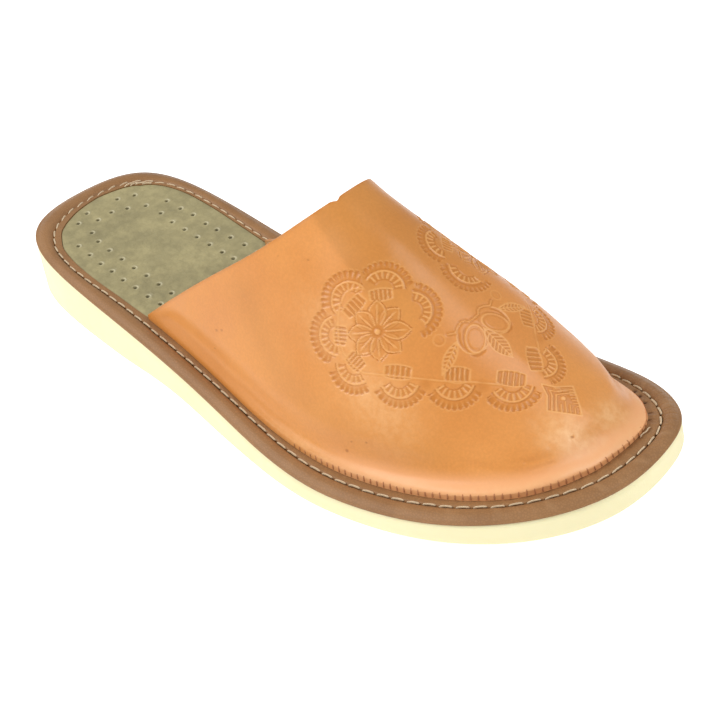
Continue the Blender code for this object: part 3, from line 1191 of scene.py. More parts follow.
    def blossom(self, relief: Relief) -> None:
        """Adds the flower of eight pointed petals.

        Args:
            relief: what it is added to.
        """
        for tip in self.petals:
            u, v, length = relief.frame_of(self.flower, tip)
            t = np.clip(u / length, 0.0, 1.0)
            half = 2.75 * np.clip(np.sin(math.pi * t**1.35), 0.0, 1.0) ** 0.95
            on = (u > 0.9) & (u < length + 0.3)
            edge = np.abs(v) - half
            relief.sink(on * 0.9 * line(edge - 0.45, 0.28))
            relief.sink(on * (0.35 + 0.4 * step(t, 0.75, 0.25)) * (1 - step(edge, -0.3, 0.0)))
            relief.sink(on * 0.85 * line(np.abs(v) - 0.5, 0.24) * (1 - step(t, 0.62, 0.85)))
            relief.lift(on * line(edge, 0.24) * (t > 0.2))
            relief.lift(on * line(v, 0.22) * step(t, 0.2, 0.3) * (1 - step(t, 0.80, 0.92)))
        centre = np.hypot(relief.across - self.flower[0], relief.along - self.flower[1])
        relief.sink(line(centre - 1.35, 0.42))
        relief.lift(1 - step(centre, 0.75, 1.0))

    def tulip(self, relief: Relief) -> None:
        """Adds the tulip over the heart's point, with its leaves and a small ring.

        Args:
            relief: what it is added to.
        """
        x, y = relief.across - (self.axis - 4.8), relief.along - 64.5
        tilt = math.radians(42)
        u, v = -x * math.sin(tilt) + y * math.cos(tilt), x * math.cos(tilt) + y * math.sin(tilt)
        ring = (np.hypot(u / 4.7, v / 3.2) - 1) * 3.7
        relief.sink(0.30 * line(ring + 0.7, 0.35))
        relief.sink(0.75 * line(ring - 0.65, 0.35) * (0.4 + 0.6 * step(-x, -1.5, 1.0)))
        relief.lift(0.9 * line(ring, 0.24))
        wing = (np.hypot((u + 0.5) / 5.6, (v + 0.8) / 5.0) - 1) * 5.2
        relief.sink(0.75 * line(wing + 0.6, 0.45) * step(-x + 0.5 * y, -0.5, 1.0) * step(ring, 0.2, 0.5))
        relief.lift(line(wing, 0.24) * step(-x + 0.5 * y, -1.0, 0.5) * step(ring, 0.2, 0.5))
        brace = relief.path(((-13, 57.8), (-11, 59), (-9, 58), (-7, 57.5), (-5.8, 58), (-5, 59), (-2.7, 59.2)))
        relief.sink(0.6 * line(brace - 0.45, 0.25))
        relief.lift(0.8 * line(brace, 0.2))
        self.leaf(relief, (self.axis, 63.6), (self.axis, 76.6), 2.8, 0.55)
        self.leaf(relief, (self.axis - 9.6, 61.4), (self.axis - 20.5, 66.0), 1.8, 0.5)
        ring = np.hypot(relief.across + 16.3, relief.along - 57.3) - 1.9
        relief.sink(0.35 * line(ring + 0.5, 0.25) * step(relief.along, 56.0, 57.5))
        relief.lift(0.5 * line(ring, 0.24))

    def leaf(self, relief: Relief, start: Spot, end: Spot, half: float, widest: float) -> None:
        """Adds a pointed leaf with slanting veins.

        Args:
            relief: what it is added to.
            start: its stalk's end.
            end: its tip.
            half: half of its width.
            widest: where along it that is, as a share.
        """
        u, v, length = relief.frame_of(start, end)
        t = np.clip(u / length, 0.0, 1.0)
        grows, narrows = t / widest, (t - widest) / (1 - widest)
        side = np.where(t < widest, np.sin(math.pi / 2 * grows), np.cos(math.pi / 2 * narrows))
        edge = np.abs(v) - half * side
        on = (u > -0.2) & (u < length + 0.3)
        relief.sink(on * 0.6 * (1 - step(edge, -0.4, -0.1)))
        vein = np.abs(turned((u - 0.8 * np.abs(v)) / 1.5)) * 2
        relief.lift(on * 0.9 * (1 - step(vein, 0.3, 0.6)) * (edge < -0.2))
        relief.lift(on * line(v, 0.2) * (edge < -0.2))
        relief.lift(on * line(edge, 0.24))

    def kite(self, relief: Relief) -> None:
        """Adds the kite under the heart's point.

        Args:
            relief: what it is added to.
        """
        corners = ((-2.7, 89.0), (-4.5, 93.0), (-8.5, 96.5), (-2.6, 105.0), (4.7, 96.0), (-0.5, 92.6))
        rim = relief.path(corners + corners[:1])
        inside = relief.inside(corners)
        relief.sink(inside * 0.8)
        upper = relief.path(((-8.5, 96.5), (-4.5, 93.0), (-2.7, 89.0), (-0.5, 92.6), (4.7, 96.0)))
        for offset in (1.5, 2.7):
            relief.lift(inside * line(upper - offset, 0.2))
        dot = np.hypot(relief.across + 1.8, relief.along - 97.0)
        relief.lift(inside * (1 - step(dot, 0.65, 0.9)))
        lower = relief.along > 97.8
        bars = np.abs(turned((relief.along + relief.across) / 1.9)) * 2
        relief.lift(0.6 * inside * lower * (relief.across < -2.0) * (1 - step(bars, 0.2, 0.45)))
        ticks = np.abs(turned((relief.along - 0.8 * relief.across) / 1.5)) * 2
        relief.lift(0.8 * inside * (relief.across > -1.4) * (rim < 2.0) * (1 - step(ticks, 0.2, 0.45)))
        relief.lift(line(rim, 0.27))


class Crease(NamedTuple):
    """A soft trough or ridge between two flat places, in millimetres: its half width and its height."""

    start: Spot
    end: Spot
    half: float
    height: float


@dataclass
class Vamp:
    """The tan upper: one hollow wall from the throat to the toe, open behind and underneath.

    Flat places are millimetres, as the ornament's. A spot is its place and radius, and a painted highlight patch
    its place, half width, half length and strength.
    """

    sole: Sole
    ornament: Ornament
    instep_height: float = 0.0862
    throat_top: float = 0.1760
    throat_back: float = 0.0940
    outer_curve: float = 1.02
    inner_curve: float = 0.76
    toe_crowding: float = 1.54
    slope_degrees: float = 31.0
    columns: int = 128
    rows: int = 128
    finer_cuts: int = 3
    tuck: float = 1.5
    nick: float = 0.65
    nick_at: float = -5.8
    nick_half: float = 1.2
    sag: float = 0.9
    sag_at: float = -38.0
    sag_half: float = 22.0
    share_per_mm: float = 0.0085
    raised: float = 0.05
    edge_bulge: float = 0.00030
    creases: tuple[Crease, ...] = tuple(Crease(*row) for row in (
        ((-6.0, 4.0), (-3.0, 22.0), 5.0, 0.25), ((-26.0, 104.0), (-20.0, 107.5), 0.8, -0.26),
        ((-27.0, 106.5), (-21.5, 109.5), 0.8, -0.22), ((-25.0, 102.0), (-19.0, 105.0), 0.9, 0.16),
        ((-30.0, 100.0), (-24.0, 105.0), 1.0, -0.18), ((-38.0, 92.0), (-27.0, 110.0), 1.4, -0.24),
        ((-35.0, 92.0), (-24.0, 108.0), 1.6, 0.12), ((-14.0, 98.0), (-8.0, 112.0), 3.0, -0.22),
        ((6.0, 92.0), (14.0, 106.0), 3.5, -0.18), ((-52.0, 30.0), (-47.0, 52.0), 4.0, -0.18),
        ((-66.0, 40.0), (-58.0, 66.0), 4.5, -0.20), ((-20.0, 6.0), (-30.0, 18.0), 5.0, -0.15),
        ((14.0, 4.0), (30.0, 20.0), 5.0, -0.18), ((44.0, 30.0), (52.0, 60.0), 5.0, -0.20),
        ((30.0, 78.0), (38.0, 96.0), 3.5, -0.18), ((-67.0, 60.6), (-66.8, 61.4), 0.6, -0.12),
        ((-10.9, 107.8), (-10.3, 107.8), 0.45, -0.20),
    ))
    spots: tuple[Triple, ...] = (
        (-66.9, 61.0, 0.7), (-58.1, 64.2, 0.4), (-62.4, 60.3, 0.4), (-27.3, 7.7, 0.35),
        (-10.5, 107.8, 0.5), (-78.1, -5.5, 0.6), (-76.2, -3.7, 0.6), (-86.9, -2.9, 0.45),
    )
    # painted highlight patches on the toe and the outer side
    painted_highlight_patches: tuple[tuple[float, ...], ...] = (
        (-11.0, 107.0, 9.0, 12.0, 1.0), (5.0, 111.0, 11.0, 7.0, 0.9),
        (-39.0, 32.0, 13.0, 20.0, 0.45), (-45.0, 58.0, 12.0, 20.0, 0.60),
    )
    stain: tuple[Spot, ...] = (
        (-56.0, -4.0), (-61.0, 6.0), (-66.0, 18.0), (-68.5, 28.0), (-64.0, 48.0), (-58.0, 66.0), (-44.0, 82.0),
    )

    def __post_init__(self) -> None:
        """Samples the line that the outer face stands on, and the flat places over the face."""
        sole = self.sole
        way = sole.stations
        inset = sole.foot_inset(way)
        plan = sole.plan(way, inset)
        seat = sole.strip_height + sole.clearance + sole.wall
        foot = np.column_stack([plan, sole.top(plan[:, 0]) + seat])
        self.toe = len(foot) // 2
        self.outer_side = foot[: self.toe + 1]
        self.inner_side = np.concatenate([foot[self.toe :], foot[:1]])[::-1]
        self.ridge_forward = (0.00, 0.23, 0.47, 0.70, 0.89, 1.00)
        self.ridge_rise = (1.000, 0.804, 0.533, 0.291, 0.134, 0.000)
        inward = np.array((0.017, 0.029, 0.055, 0.071, 0.094, 0.162)) * sole.ball
        inward[-1] = foot[self.toe, 1]
        self.ridge_inward = inward
        self.foot_line = KDTree(len(foot))
        for index, point in enumerate(foot):
            self.foot_line.insert(point, index)
        self.foot_line.balance()
        self.survey()

    def survey(self) -> None:
        """Lays a table of flat places: along by levels from the throat, across by girth from the ridge."""
        shares, angles = np.linspace(0.0, 1.0, 161), np.linspace(0.0, math.pi, 181)
        grid_share, grid_angle = (part.ravel() for part in np.meshgrid(shares, angles, indexing="ij"))
        points = self.face(grid_share, grid_angle).reshape(len(shares), len(angles), 3)
        slope = math.radians(self.slope_degrees)
        self.downhill = np.array([math.cos(slope), 0.0, -math.sin(slope)])
        self.notch = self.face(np.array([0.0]), np.array([math.pi / 2]))[0]
        along = (points - self.notch) @ self.downhill
        self.levels = np.arange(0.0, 0.119, 0.001)
        self.angles = angles
        across = np.zeros((len(self.levels), len(angles)))
        for row, level in enumerate(self.levels):
            ring = []
            for j in range(len(angles)):
                share = np.interp(level, along[:, j], shares)
                ring.append([np.interp(share, shares, points[:, j, axis]) for axis in range(3)])
            steps = np.linalg.norm(np.diff(np.array(ring), axis=0), axis=1)
            total = np.concatenate([[0.0], np.cumsum(steps)])
            across[row] = total - total[len(angles) // 2]
        self.across = across

    def flat_places(self, points: Array, angle: Array) -> tuple[Array, Array]:
        """Where points of the face lie on the flat leather.

        Args:
            points: the points, one a row, from the heel's back.
            angle: the girth angle of each.

        Returns:
            How far across from the ridge and along from the throat, in millimetres.
        """
        along = (points - self.notch) @ self.downhill
        row = np.clip(along / MM, 0.0, len(self.levels) - 1.001)
        column = np.clip(angle / math.pi * (len(self.angles) - 1), 0.0, len(self.angles) - 1.001)
        i, j = row.astype(int), column.astype(int)
        u, v = row - i, column - j
        low = self.across[i, j] * (1 - v) + self.across[i, j + 1] * v
        high = self.across[i + 1, j] * (1 - v) + self.across[i + 1, j + 1] * v
        return (low * (1 - u) + high * u) / MM, along / MM

    def side(self, line: Array, share: Array) -> Array:
        """One side of the foot line, from the throat's corner to the toe.

        Args:
            line: the side's points, one a row.
            share: 0 at the corner to 1 at the toe.

        Returns:
            A point a row.
        """
        places = np.arange(len(line))
        corner = np.interp(self.throat_back, line[:, 0], places)
        wanted = corner + (self.toe - corner) * share
        return np.stack([np.interp(wanted, places, line[:, axis]) for axis in range(3)], axis=1)

    def face(self, share: Array, angle: Array) -> Array:
        """The outer face, measured from the heel's back.

        Args:
            share: 0 at the throat to 1 at the toe, for each point.
            angle: 0 at the outer side over the top to pi at the inner one, for each point.

        Returns:
            A point a row.
        """
        foot_out, foot_in = self.side(self.outer_side, share), self.side(self.inner_side, share)
        toe_point = self.outer_side[-1]
        forward = 1 - (1 - share) ** self.toe_crowding
        rise = smooth(self.ridge_forward, self.ridge_rise, forward)
        top = np.column_stack([
            self.throat_top + forward * (toe_point[0] - self.throat_top),
            smooth(self.ridge_forward, self.ridge_inward, forward),
            toe_point[2] + rise * (self.instep_height - toe_point[2]),
        ])
        middle = (foot_out + foot_in) / 2
        outer = angle <= math.pi / 2
        full = np.where(
            outer,
            smooth((0.0, 0.33, 0.66, 1.0), (2.25, 1.93, 1.32, 1.55), share),
            smooth((0.0, 0.33, 0.66, 1.0), (2.39, 2.49, 2.02, 1.45), share),
        )
        lean = np.where(outer, self.outer_curve, self.inner_curve)
        across = np.abs(np.cos(angle)) ** (2 / full)
        up = np.clip(np.sin(angle), 0.0, None) ** (2 / full)
        foot = np.where(outer[:, None], foot_out, foot_in)
        points = middle + across[:, None] * (foot - middle) + up[:, None] * (top - middle)
        points[:, 0] = middle[:, 0] + across * (foot - middle)[:, 0] + up**lean * (top - middle)[:, 0]
        return points

    def girth(self, flat: Array) -> Array:
        """Returns the girth angle of a skin's flat points, whose first and last column are the skirt."""
        cell = 1.0 / self.columns
        return math.pi * np.clip((flat[:, 0] - cell) / (1 - 2 * cell), 0.0, 1.0)

    def skirt(self, flat: Array) -> Array:
        """Returns True for a skin's flat points that hang down from the foot line, its two outermost columns."""
        return np.abs(flat[:, 0] - 0.5) > 0.5 - 0.5 / self.columns

    def lie(self, flat: Array) -> Array:
        """A skin's points placed over the face, with the throat's nick and sag.

        Args:
            flat: its flat points, girth by share, one a row.

        Returns:
            The points, measured from the heel's back.
        """
        share, angle = flat[:, 1], self.girth(flat)
        where = np.interp(angle, self.angles, self.across[0]) / MM
        cut = self.nick * bell(where - self.nick_at, self.nick_half)
        cut += self.sag * bell(where - self.sag_at, self.sag_half)
        points = self.face(share + self.share_per_mm * cut * (1 - step(share, 0.0, 0.03)), angle)
        points[:, 2] -= self.skirt(flat) * (self.sole.wall + 0.7 * self.sole.clearance)
        return points

    def outward(self, mesh: Mesh, flat: Array, points: Array) -> Array:
        """The outward normals of a placed skin, with one shared by the toe's points.

        Args:
            mesh: the skin.
            flat: its flat points.
            points: its placed points.

        Returns:
            A normal a row.
        """
        mesh.normal_update()
        normals = np.array([vert.normal[:] for vert in mesh.verts])
        away = points - np.array([0.05, 0.0, 0.02])
        normals = normals * np.sign(np.mean(np.einsum("ij,ij->i", normals, away)))
        toe = flat[:, 1] > 1 - 1e-6
        shared = normals[toe].sum(axis=0)
        normals[toe] = shared / np.linalg.norm(shared)
        return normals

    def refine(self, mesh: Mesh) -> None:
        """Makes the faces finer under the ornament, the spots and the sharp creases.

        Args:
            mesh: the skin, while it is still flat.
        """
        flat = np.array([face.calc_center_median()[:] for face in mesh.faces])
        points = self.lie(flat)
        across, along = self.flat_places(points, self.girth(flat))
        near = np.zeros(len(flat), bool)
        for east in (-0.8, 0.0, 0.8):
            for south in (-0.8, 0.0, 0.8):
                relief = self.ornament.read(across + east, along + south)
                near |= (relief.press + relief.ridge) > 0.02
        near &= (along > 8.0) & (along < 110.0)
        for east, south, radius in self.spots:
            near |= np.hypot(across - east, along - south) < 1.2 + 1.3 * radius
        for crease in self.creases:
            if crease.half < 1.7:
                near |= Relief(across, along).path((crease.start, crease.end)) < 1.6 * crease.half
        chosen = [face for face, wanted in zip(mesh.faces, near) if wanted]
        edges = list({edge for face in chosen for edge in face.edges})
        bmesh.ops.subdivide_edges(mesh, edges=edges, cuts=self.finer_cuts, use_grid_fill=True)

    def shape(self, across: Array, along: Array) -> Array:
        """The listed creases and the skin's soft unevenness.

        Args:
            across: each point's distance from the ridge, in millimetres.
            along: its distance from the throat.

        Returns:
            How far the skin stands out, in millimetres.
        """
        place_at = Relief(across, along)
        height = 0.05 * np.sin(across / 6.3 + 1.3 * np.sin(along / 11.0)) * np.sin(along / 7.9 + 0.8)
        height += 0.03 * np.sin(across / 2.9 + along / 5.1) * np.sin(along / 3.7 - across / 8.0)
        for crease in self.creases:
            u, v, length = place_at.frame_of(crease.start, crease.end)
            over = np.abs(u - length / 2) - length / 2
            height += crease.height * bell(v, crease.half) * bell(np.clip(over, 0.0, None), crease.half)
        return height

    def rise(self, points: Array) -> Array:
        """Returns how far points lie from the foot of the face, in millimetres."""
        return np.array([self.foot_line.find(point)[2] for point in points]) / MM

    def tucked(self, flat: Array, rise: Array) -> Array:
        """How far the skin is pressed in just over its foot, most on the inner side of the toe.

        Args:
            flat: the skin's flat points.
            rise: how far each lies from the foot line, in millimetres.

        Returns:
            The depth in millimetres, 0 at the skirt.
        """
        share = flat[:, 1]
        tuck = self.tuck * (1 - 0.4 * step(share, 0.72, 0.90))
        steep = step(self.girth(flat), 1.5, 2.5) * step(share, 0.55, 0.75) * (1 - step(share, 0.90, 0.99))
        start = 0.55 * steep
        depth = tuck * (1 + 0.5 * steep) * (start + (1 - start) * step(rise, 0.0, 5.0)) * (1 - step(rise, 5.0, 15.0))
        return ~self.skirt(flat) * depth * step(share, 0.0, 0.04)

    def build(self, material: Material) -> Object:
        """Builds the piece.

        Args:
            material: its finish.

        Returns:
            The finished object.
        """
        inner = flat_grid(self.columns, self.rows)
        flat = coordinates(inner)
        lying = self.lie(flat)
        points = self.sole.world(lying)
        place(inner, points)
        pressed = self.tucked(flat, self.rise(lying)) * MM
        deep = points - (self.sole.wall + pressed)[:, None] * self.outward(inner, flat, points)
        skirt = self.skirt(flat)
        deep[skirt, 2] = points[skirt, 2]
        place(inner, deep)
        throat = flat[:, 1] < 1e-6
        near, far = flat[:, 0] < 1e-6, flat[:, 0] > 1 - 1e-6
        strips = []
        for mask, axis, bulge in ((throat, 0, self.edge_bulge), (near, 1, 0.0), (far, 1, 0.0)):
            order = np.argsort(flat[mask, axis])
            strips.append(edge_strip(points[mask][order], deep[mask][order], 3, bulge))
        outer = self.outer_skin()
        names = ("press", "ridge", "sheen_band", "foot", "spot", "pale", "deep")
        for part in (inner, strips[0]):
            for name in names:
                mark(part, name, np.full(len(part.verts), float(name == "press" and part is not inner)))
            mark(part, "rough", np.full(len(part.verts), 1.0 if part is inner else 0.25))
        rim = np.array([vert.is_boundary for vert in outer.verts])
        edge = coordinates(outer)[rim]
        for part in strips[1:]:
            gaps = coordinates(part)[:, None, :] - edge[None, :, :]
            nearest = np.argmin((gaps**2).sum(axis=2), axis=1)
            for name in (*names, "rough"):
                mark(part, name, marked(outer, name)[rim][nearest])
        mesh = joined([outer, inner, *strips])
        weld(mesh, 1e-6)
        return Piece("upper_vamp", "tan_leather", material, ("upper",), 50.0).finish(mesh)

    def outer_skin(self) -> Mesh:
        """The outer skin with its ornament, creases and marks, and its painted sheen, highlights and shade.

        Returns:
            The skin's mesh, open all round.
        """
        mesh = flat_grid(self.columns, self.rows)
        self.refine(mesh)
        flat = coordinates(mesh)
        angle = self.girth(flat)
        points = self.lie(flat)
        across, along = self.flat_places(points, angle)
        relief = self.ornament.read(across, along)
        rise = self.rise(points)
        placed = self.sole.world(points)
        place(mesh, placed)
        inside = (flat[:, 1] > 1e-6) & ~self.skirt(flat)
        fade = step(rise, 0.5, 4.0) * step(flat[:, 1], 0.0, 0.02) * (1 - step(flat[:, 1], 0.985, 1.0))
        pushed = self.shape(across, along) * fade
        pushed -= self.tucked(flat, rise)
        pushed += fade * (self.raised * relief.ridge - self.ornament.depth * relief.press)
        normals = self.outward(mesh, flat, placed)
        placed = placed + normals * (np.where(inside, pushed, 0.0) * MM)[:, None]
        place(mesh, placed)
        spot = np.zeros(len(flat))
        for east, south, radius in self.spots:
            spot = np.maximum(spot, 1 - step(np.hypot(across - east, along - south), 0.4 * radius, 1.3 * radius))
        mark(mesh, "press", relief.press * fade)
        mark(mesh, "ridge", relief.ridge * fade)
        # painted sheen over the lowest few millimetres of the front half
        mark(mesh, "sheen_band", (1 - step(rise, 2.5, 9.0)) * step(flat[:, 1], 0.38, 0.52))
        outer_side = (angle < math.pi / 2) & (flat[:, 1] > 1e-6)
        band = outer_side * (1 - step(rise, 4.6, 5.2)) * (1 - step(flat[:, 1], 0.20, 0.42))
        mark(mesh, "foot", np.maximum(0.45 * band, 0.7 * (1 - step(flat[:, 1], 0.002, 0.008))))
        # painted highlight: soft patches that stand in for reflections on the toe and the outer side
        pale = np.zeros(len(flat))
        for east, south, wide, long, share in self.painted_highlight_patches:
            pale = np.maximum(pale, share * bell(np.hypot((across - east) / wide, (along - south) / long), 0.8))
        # painted highlight over the lowest few millimetres from a third of the way to the toe, lightening that shaded
        # band
        pale = np.maximum(pale, 0.5 * (1 - step(rise, 1.0, 5.0)) * step(flat[:, 1], 0.25, 0.40))
        mark(mesh, "pale", pale)
        # painted shade from a reflection's edge just outside the ridge toward the inner side, near the throat; the
        # streak is a stain
        shade = step(across + 15.7 + 0.22 * along, -1.2, 1.6) * (1 - step(across, 25.0, 62.0))
        streak = 0.55 * bell(Relief(across, along).path(self.stain), 7.0)
        mark(mesh, "deep", np.maximum(shade * (1 - step(along, 24.0, 66.0)), streak))
        mark(mesh, "spot", spot)
        mark(mesh, "rough", np.zeros(len(flat)))
        return mesh


def edge_strip(first: Array, second: Array, rows: int, bulge: float) -> Mesh:
    """A band between two rows of points that stand opposite each other.

    Args:
        first: one side, a point a row.
        second: the other side.
        rows: cells across.
        bulge: how far its middle is pressed outward, away from the neighbouring points, in metres.

    Returns:
        The band's mesh.
    """
    mesh = flat_grid(len(first) - 1, rows)
    flat = coordinates(mesh)
    i = np.rint(flat[:, 0] * (len(first) - 1)).astype(int)
    t = flat[:, 1:2]
    points = first[i] + (second[i] - first[i]) * t
    points[:, 0] -= bulge * np.sin(math.pi * t[:, 0])
    place(mesh, points)
    return mesh


def joined(meshes: Sequence[Mesh]) -> Mesh:
    """Puts meshes together.

    Args:
        meshes: the parts, which are freed.

    Returns:
        One mesh of them all.
    """
    whole = bmesh.new()
    for mesh in meshes:
        data = bpy.data.meshes.new("part")
        mesh.to_mesh(data)
        mesh.free()
        whole.from_mesh(data)
        bpy.data.meshes.remove(data)
    return whole


@dataclass
class Seam:
    """Where the stitches lie round the binding."""

    sole: Sole
    pitch: float = 0.0056
    dash: float = 0.0042

    def __post_init__(self) -> None:
        """Measures the seam's line."""
        way = np.linspace(0.0, 1.0, 2401)
        plan = self.sole.plan(way, self.sole.sew_inset(way))
        steps = np.linalg.norm(np.diff(plan, axis=0), axis=1)
        self.way = way
        self.run = np.concatenate([[0.0], np.cumsum(steps)])
        self.count = int(round(self.run[-1] / self.pitch))
        self.step = self.run[-1] / self.count

    def at(self, run: Array) -> Array:
        """Returns the places round the outline at distances along the seam."""
        return np.interp(np.mod(run, self.run[-1]), self.run, self.way)

    def along(self, way: Array) -> Array:
        """Returns the distances along the seam at places round the outline."""
        return np.interp(np.mod(way, 1.0), self.way, self.run)

    def needle(self, way: Array) -> Array:
        """The distance to the nearest needle hole.

        Args:
            way: places round the outline.

        Returns:
            How far each lies from a hole along the seam, in metres.
        """
        phase = self.along(way) / self.step
        half = self.dash / 2 / self.step
        nearest = np.abs(turned(phase))
        return np.abs(nearest - half) * self.step


@dataclass
class Binding:
    """The brown leather rolled round the sole's edge, and the flat strip inside its seam.

    A nick is its place round the sole, its inset and its radius, the last two in millimetres.
    """

    sole: Sole
    seam: Seam
    roll_height: float = 0.0028
    groove: float = 0.00035
    hole: float = 0.00035
    hole_rim: float = 0.00075
    hole_depth: float = 0.0007
    least_lift: float = 0.00002
    stitch_width: float = 0.00035
    stitch_height: float = 0.00040
    doubled: tuple[float, ...] = (0.9455, 0.9535, 0.9615, 0.9695)
    doubled_aside: float = 0.0019
    loose_from: float = 0.5030
    loose_reach: float = 0.0115
    loose_half: float = 0.00026
    nicks: tuple[Triple, ...] = (
        (0.5250, 10.3, 0.7), (0.5345, 9.9, 0.9), (0.5415, 10.0, 0.6),
        (0.5475, 9.5, 1.1), (0.5560, 9.2, 1.3), (0.5625, 9.0, 1.3),
    )
    columns: int = 1600
    rows: int = 40

    def __post_init__(self) -> None:
        """Lays out the section."""
        section = (
            (0.10, 0.00, 0.00, 0.00), (0.00, 0.00, 0.18, 0.00), (0.02, 0.00, 0.30, 0.00), (0.14, 0.00, 0.46, 0.00),
            (0.32, 0.00, 0.76, 0.00), (0.52, 0.00, 0.97, 0.00), (0.68, 0.00, 1.00, 0.00), (0.86, 0.00, 0.84, 0.00),
            (1.00, 0.00, 0.00, 0.68), (1.00, 0.16, 0.00, 1.00), (1.00, 1.00, 0.00, 1.00), (1.00, 1.00, 0.00, 0.00),
        )
        self.section = tuple(SectionPoint(*point) for point in section)
        self.stations = np.array((0.0, 0.04, 0.08, 0.16, 0.28, 0.38, 0.46, 0.56, 0.66, 0.74, 0.95, 1.0))

    def insets(self, way: Array, along: Array) -> tuple[Array, Array]:
        """Where the section's surface lies.

        Args:
            way: places round the outline.
            along: places along the section, 0 under the roll to 1 at the strip's inner edge.

        Returns:
            How far in from the outline and how high over the foam.
        """
        table = np.array(self.section)
        roll, strip, crown, flat = (smooth(self.stations, table[:, i], along) for i in range(4))
        sew, inner = self.sole.sew_inset(way), self.sole.strip_inset(way)
        lift = np.maximum(self.least_lift, crown * self.roll_height + flat * self.sole.strip_height)
        return roll * sew + strip * (inner - sew), lift

    def wear(self, way: Array, along: Array, inset: Array) -> tuple[Array, Array, Array]:
        """The groove's holes, the toe's wrinkles and the strip's lumps.

        Args:
            way: places round the outline.
            along: places along the section.
            inset: how far in from the outline they lie.

        Returns:
            The height to add in metres, the painted shade of the needle holes and nicks, and the rubbed patches.
        """
        across = (along - 0.66) * 0.017
        gap = np.hypot(self.seam.needle(way), across)
        hole = 1 - step(gap, self.hole, self.hole_rim)
        for place_at, deep, size in self.nicks:
            nick = 1 - step(np.hypot((way - place_at) * 0.70, inset - deep * MM), 0.5 * size * MM, size * MM)
            hole = np.maximum(hole, nick)
        height = -self.hole_depth * hole
        run = self.seam.along(way) / MM
        groove = bell(along - 0.665, 0.035)
        height -= self.groove * groove
        toe = bell(np.mod(way, 1.0) - 0.50, 0.13)
        top = step(along, 0.70, 0.76) * (1 - step(along, 0.93, 0.98))
        lumps = 0.5 + 0.5 * np.cos(2 * math.pi * run / 5.6 + 1.5 * np.sin(run / 31.0))
        puckers = np.sin(run * 3.1 + 1.7 * np.sin(run / 5.0)) * np.sin(run / 6.7)
        height += (0.00026 * lumps - 0.00018 + 0.00005 * puckers) * toe * top
        crown = step(along, 0.10, 0.30) * (1 - step(along, 0.58, 0.64))
        wrinkle = np.clip(np.sin(run * 1.9 + 2.3 * np.sin(run / 7.0) + 3.0 * along), 0.0, 1.0) ** 6
        height -= 0.00016 * wrinkle * toe * crown
        dents = np.sin(run / 9.0 + 4.0 * along) * np.sin(run / 4.1 - 3.0 * along)
        height += 0.00005 * dents * crown
        rub = toe * crown * np.clip(np.sin(run * 0.63 + 5.0 * along) * np.sin(run * 0.21), 0.0, 1.0) ** 3
        return height, hole, rub

    def build(self, material: Material) -> Object:
        """Builds the piece.

        Args:
            material: its finish.

        Returns:
            The finished object.
        """
        mesh = flat_grid(self.columns, self.rows)
        flat = coordinates(mesh)
        way, along = flat[:, 0], flat[:, 1]
        inset, lift = self.insets(way, along)
        height, hole, rub = self.wear(way, along, inset)
        lift = np.maximum(self.least_lift, lift + height * step(along, 0.02, 0.1))
        place(mesh, self.sole.on_foam(way, inset, lift))
        # painted shade in the needle holes and nicks
        mark(mesh, "hole", hole)
        mark(mesh, "rub", rub)
        base = flat_grid(self.columns, 1)
        flat = coordinates(base)
        inset, lift = self.insets(flat[:, 0], 1.0 - flat[:, 1])
        place(base, self.sole.on_foam(flat[:, 0], inset, lift))
        mark(base, "hole", np.zeros(len(flat)))
        mark(base, "rub", np.zeros(len(flat)))
        mesh = joined([mesh, base])
        weld(mesh, 1e-6)
        return Piece("binding_leather", "brown_leather", material, ("binding",), 60.0).finish(mesh)

    def stitches(self, material: Material) -> Object:
        """The seam's thread, with a few stitches doubled at the heel's back.

        Args:
            material: the thread's finish.

        Returns:
            The finished object.
        """
        seam = self.seam
        starts = [(index * seam.step + seam.step / 2, 0.0) for index in range(seam.count)]
        starts += [(seam.along(np.array([way]))[0], self.doubled_aside) for way in self.doubled]
        parts = []
        for index, (middle, aside) in enumerate(starts):
            capsule = bead(8, 10)
            local = coordinates(capsule)
            run = middle + local[:, 0] * (seam.dash / 2 + 0.0002)
            way = seam.at(run)
            heel = float(bell(turned(seam.at(np.array([middle]))[0] + 0.52), 0.05))
            slant = 0.00012 * math.sin(index * 2.4) + (0.00016 + 0.0008 * heel) * local[:, 0]
            side = slant + aside + local[:, 1] * self.stitch_width
            arch = self.stitch_height * (1 - local[:, 0] ** 2) + 0.00035 * (aside > 0)
            sew = self.sole.sew_inset(way)
            seat = self.sole.strip_height * 0.86 - 0.00015
            lift = seat + arch + local[:, 2] * self.stitch_height
            place(capsule, self.sole.on_foam(way, sew + side + 0.00010, lift))
            store_flat(capsule, "stitch", strand_map(local))
            parts.append(capsule)
        parts.append(self.loose_end())
        return Piece("seam_thread", "", material).finish(joined(parts))

    def loose_end(self) -> Mesh:
        """The thread's end that lies along the vamp's edge at the toe.

        Returns:
            Its mesh.
        """
        end = bead(6, 24)
        local = coordinates(end)
        t = (local[:, 0] + 1) / 2
        way = self.loose_from + self.loose_reach * t
        inset = (10.0 - 1.1 * t**2 + 0.25 * np.sin(9.0 * t)) * MM + local[:, 1] * self.loose_half
        lift = self.sole.strip_height + 0.00035 + 0.0003 * np.sin(math.pi * t) + local[:, 2] * self.loose_half
        place(end, self.sole.on_foam(way, inset, lift))
        store_flat(end, "stitch", strand_map(local))
        return end


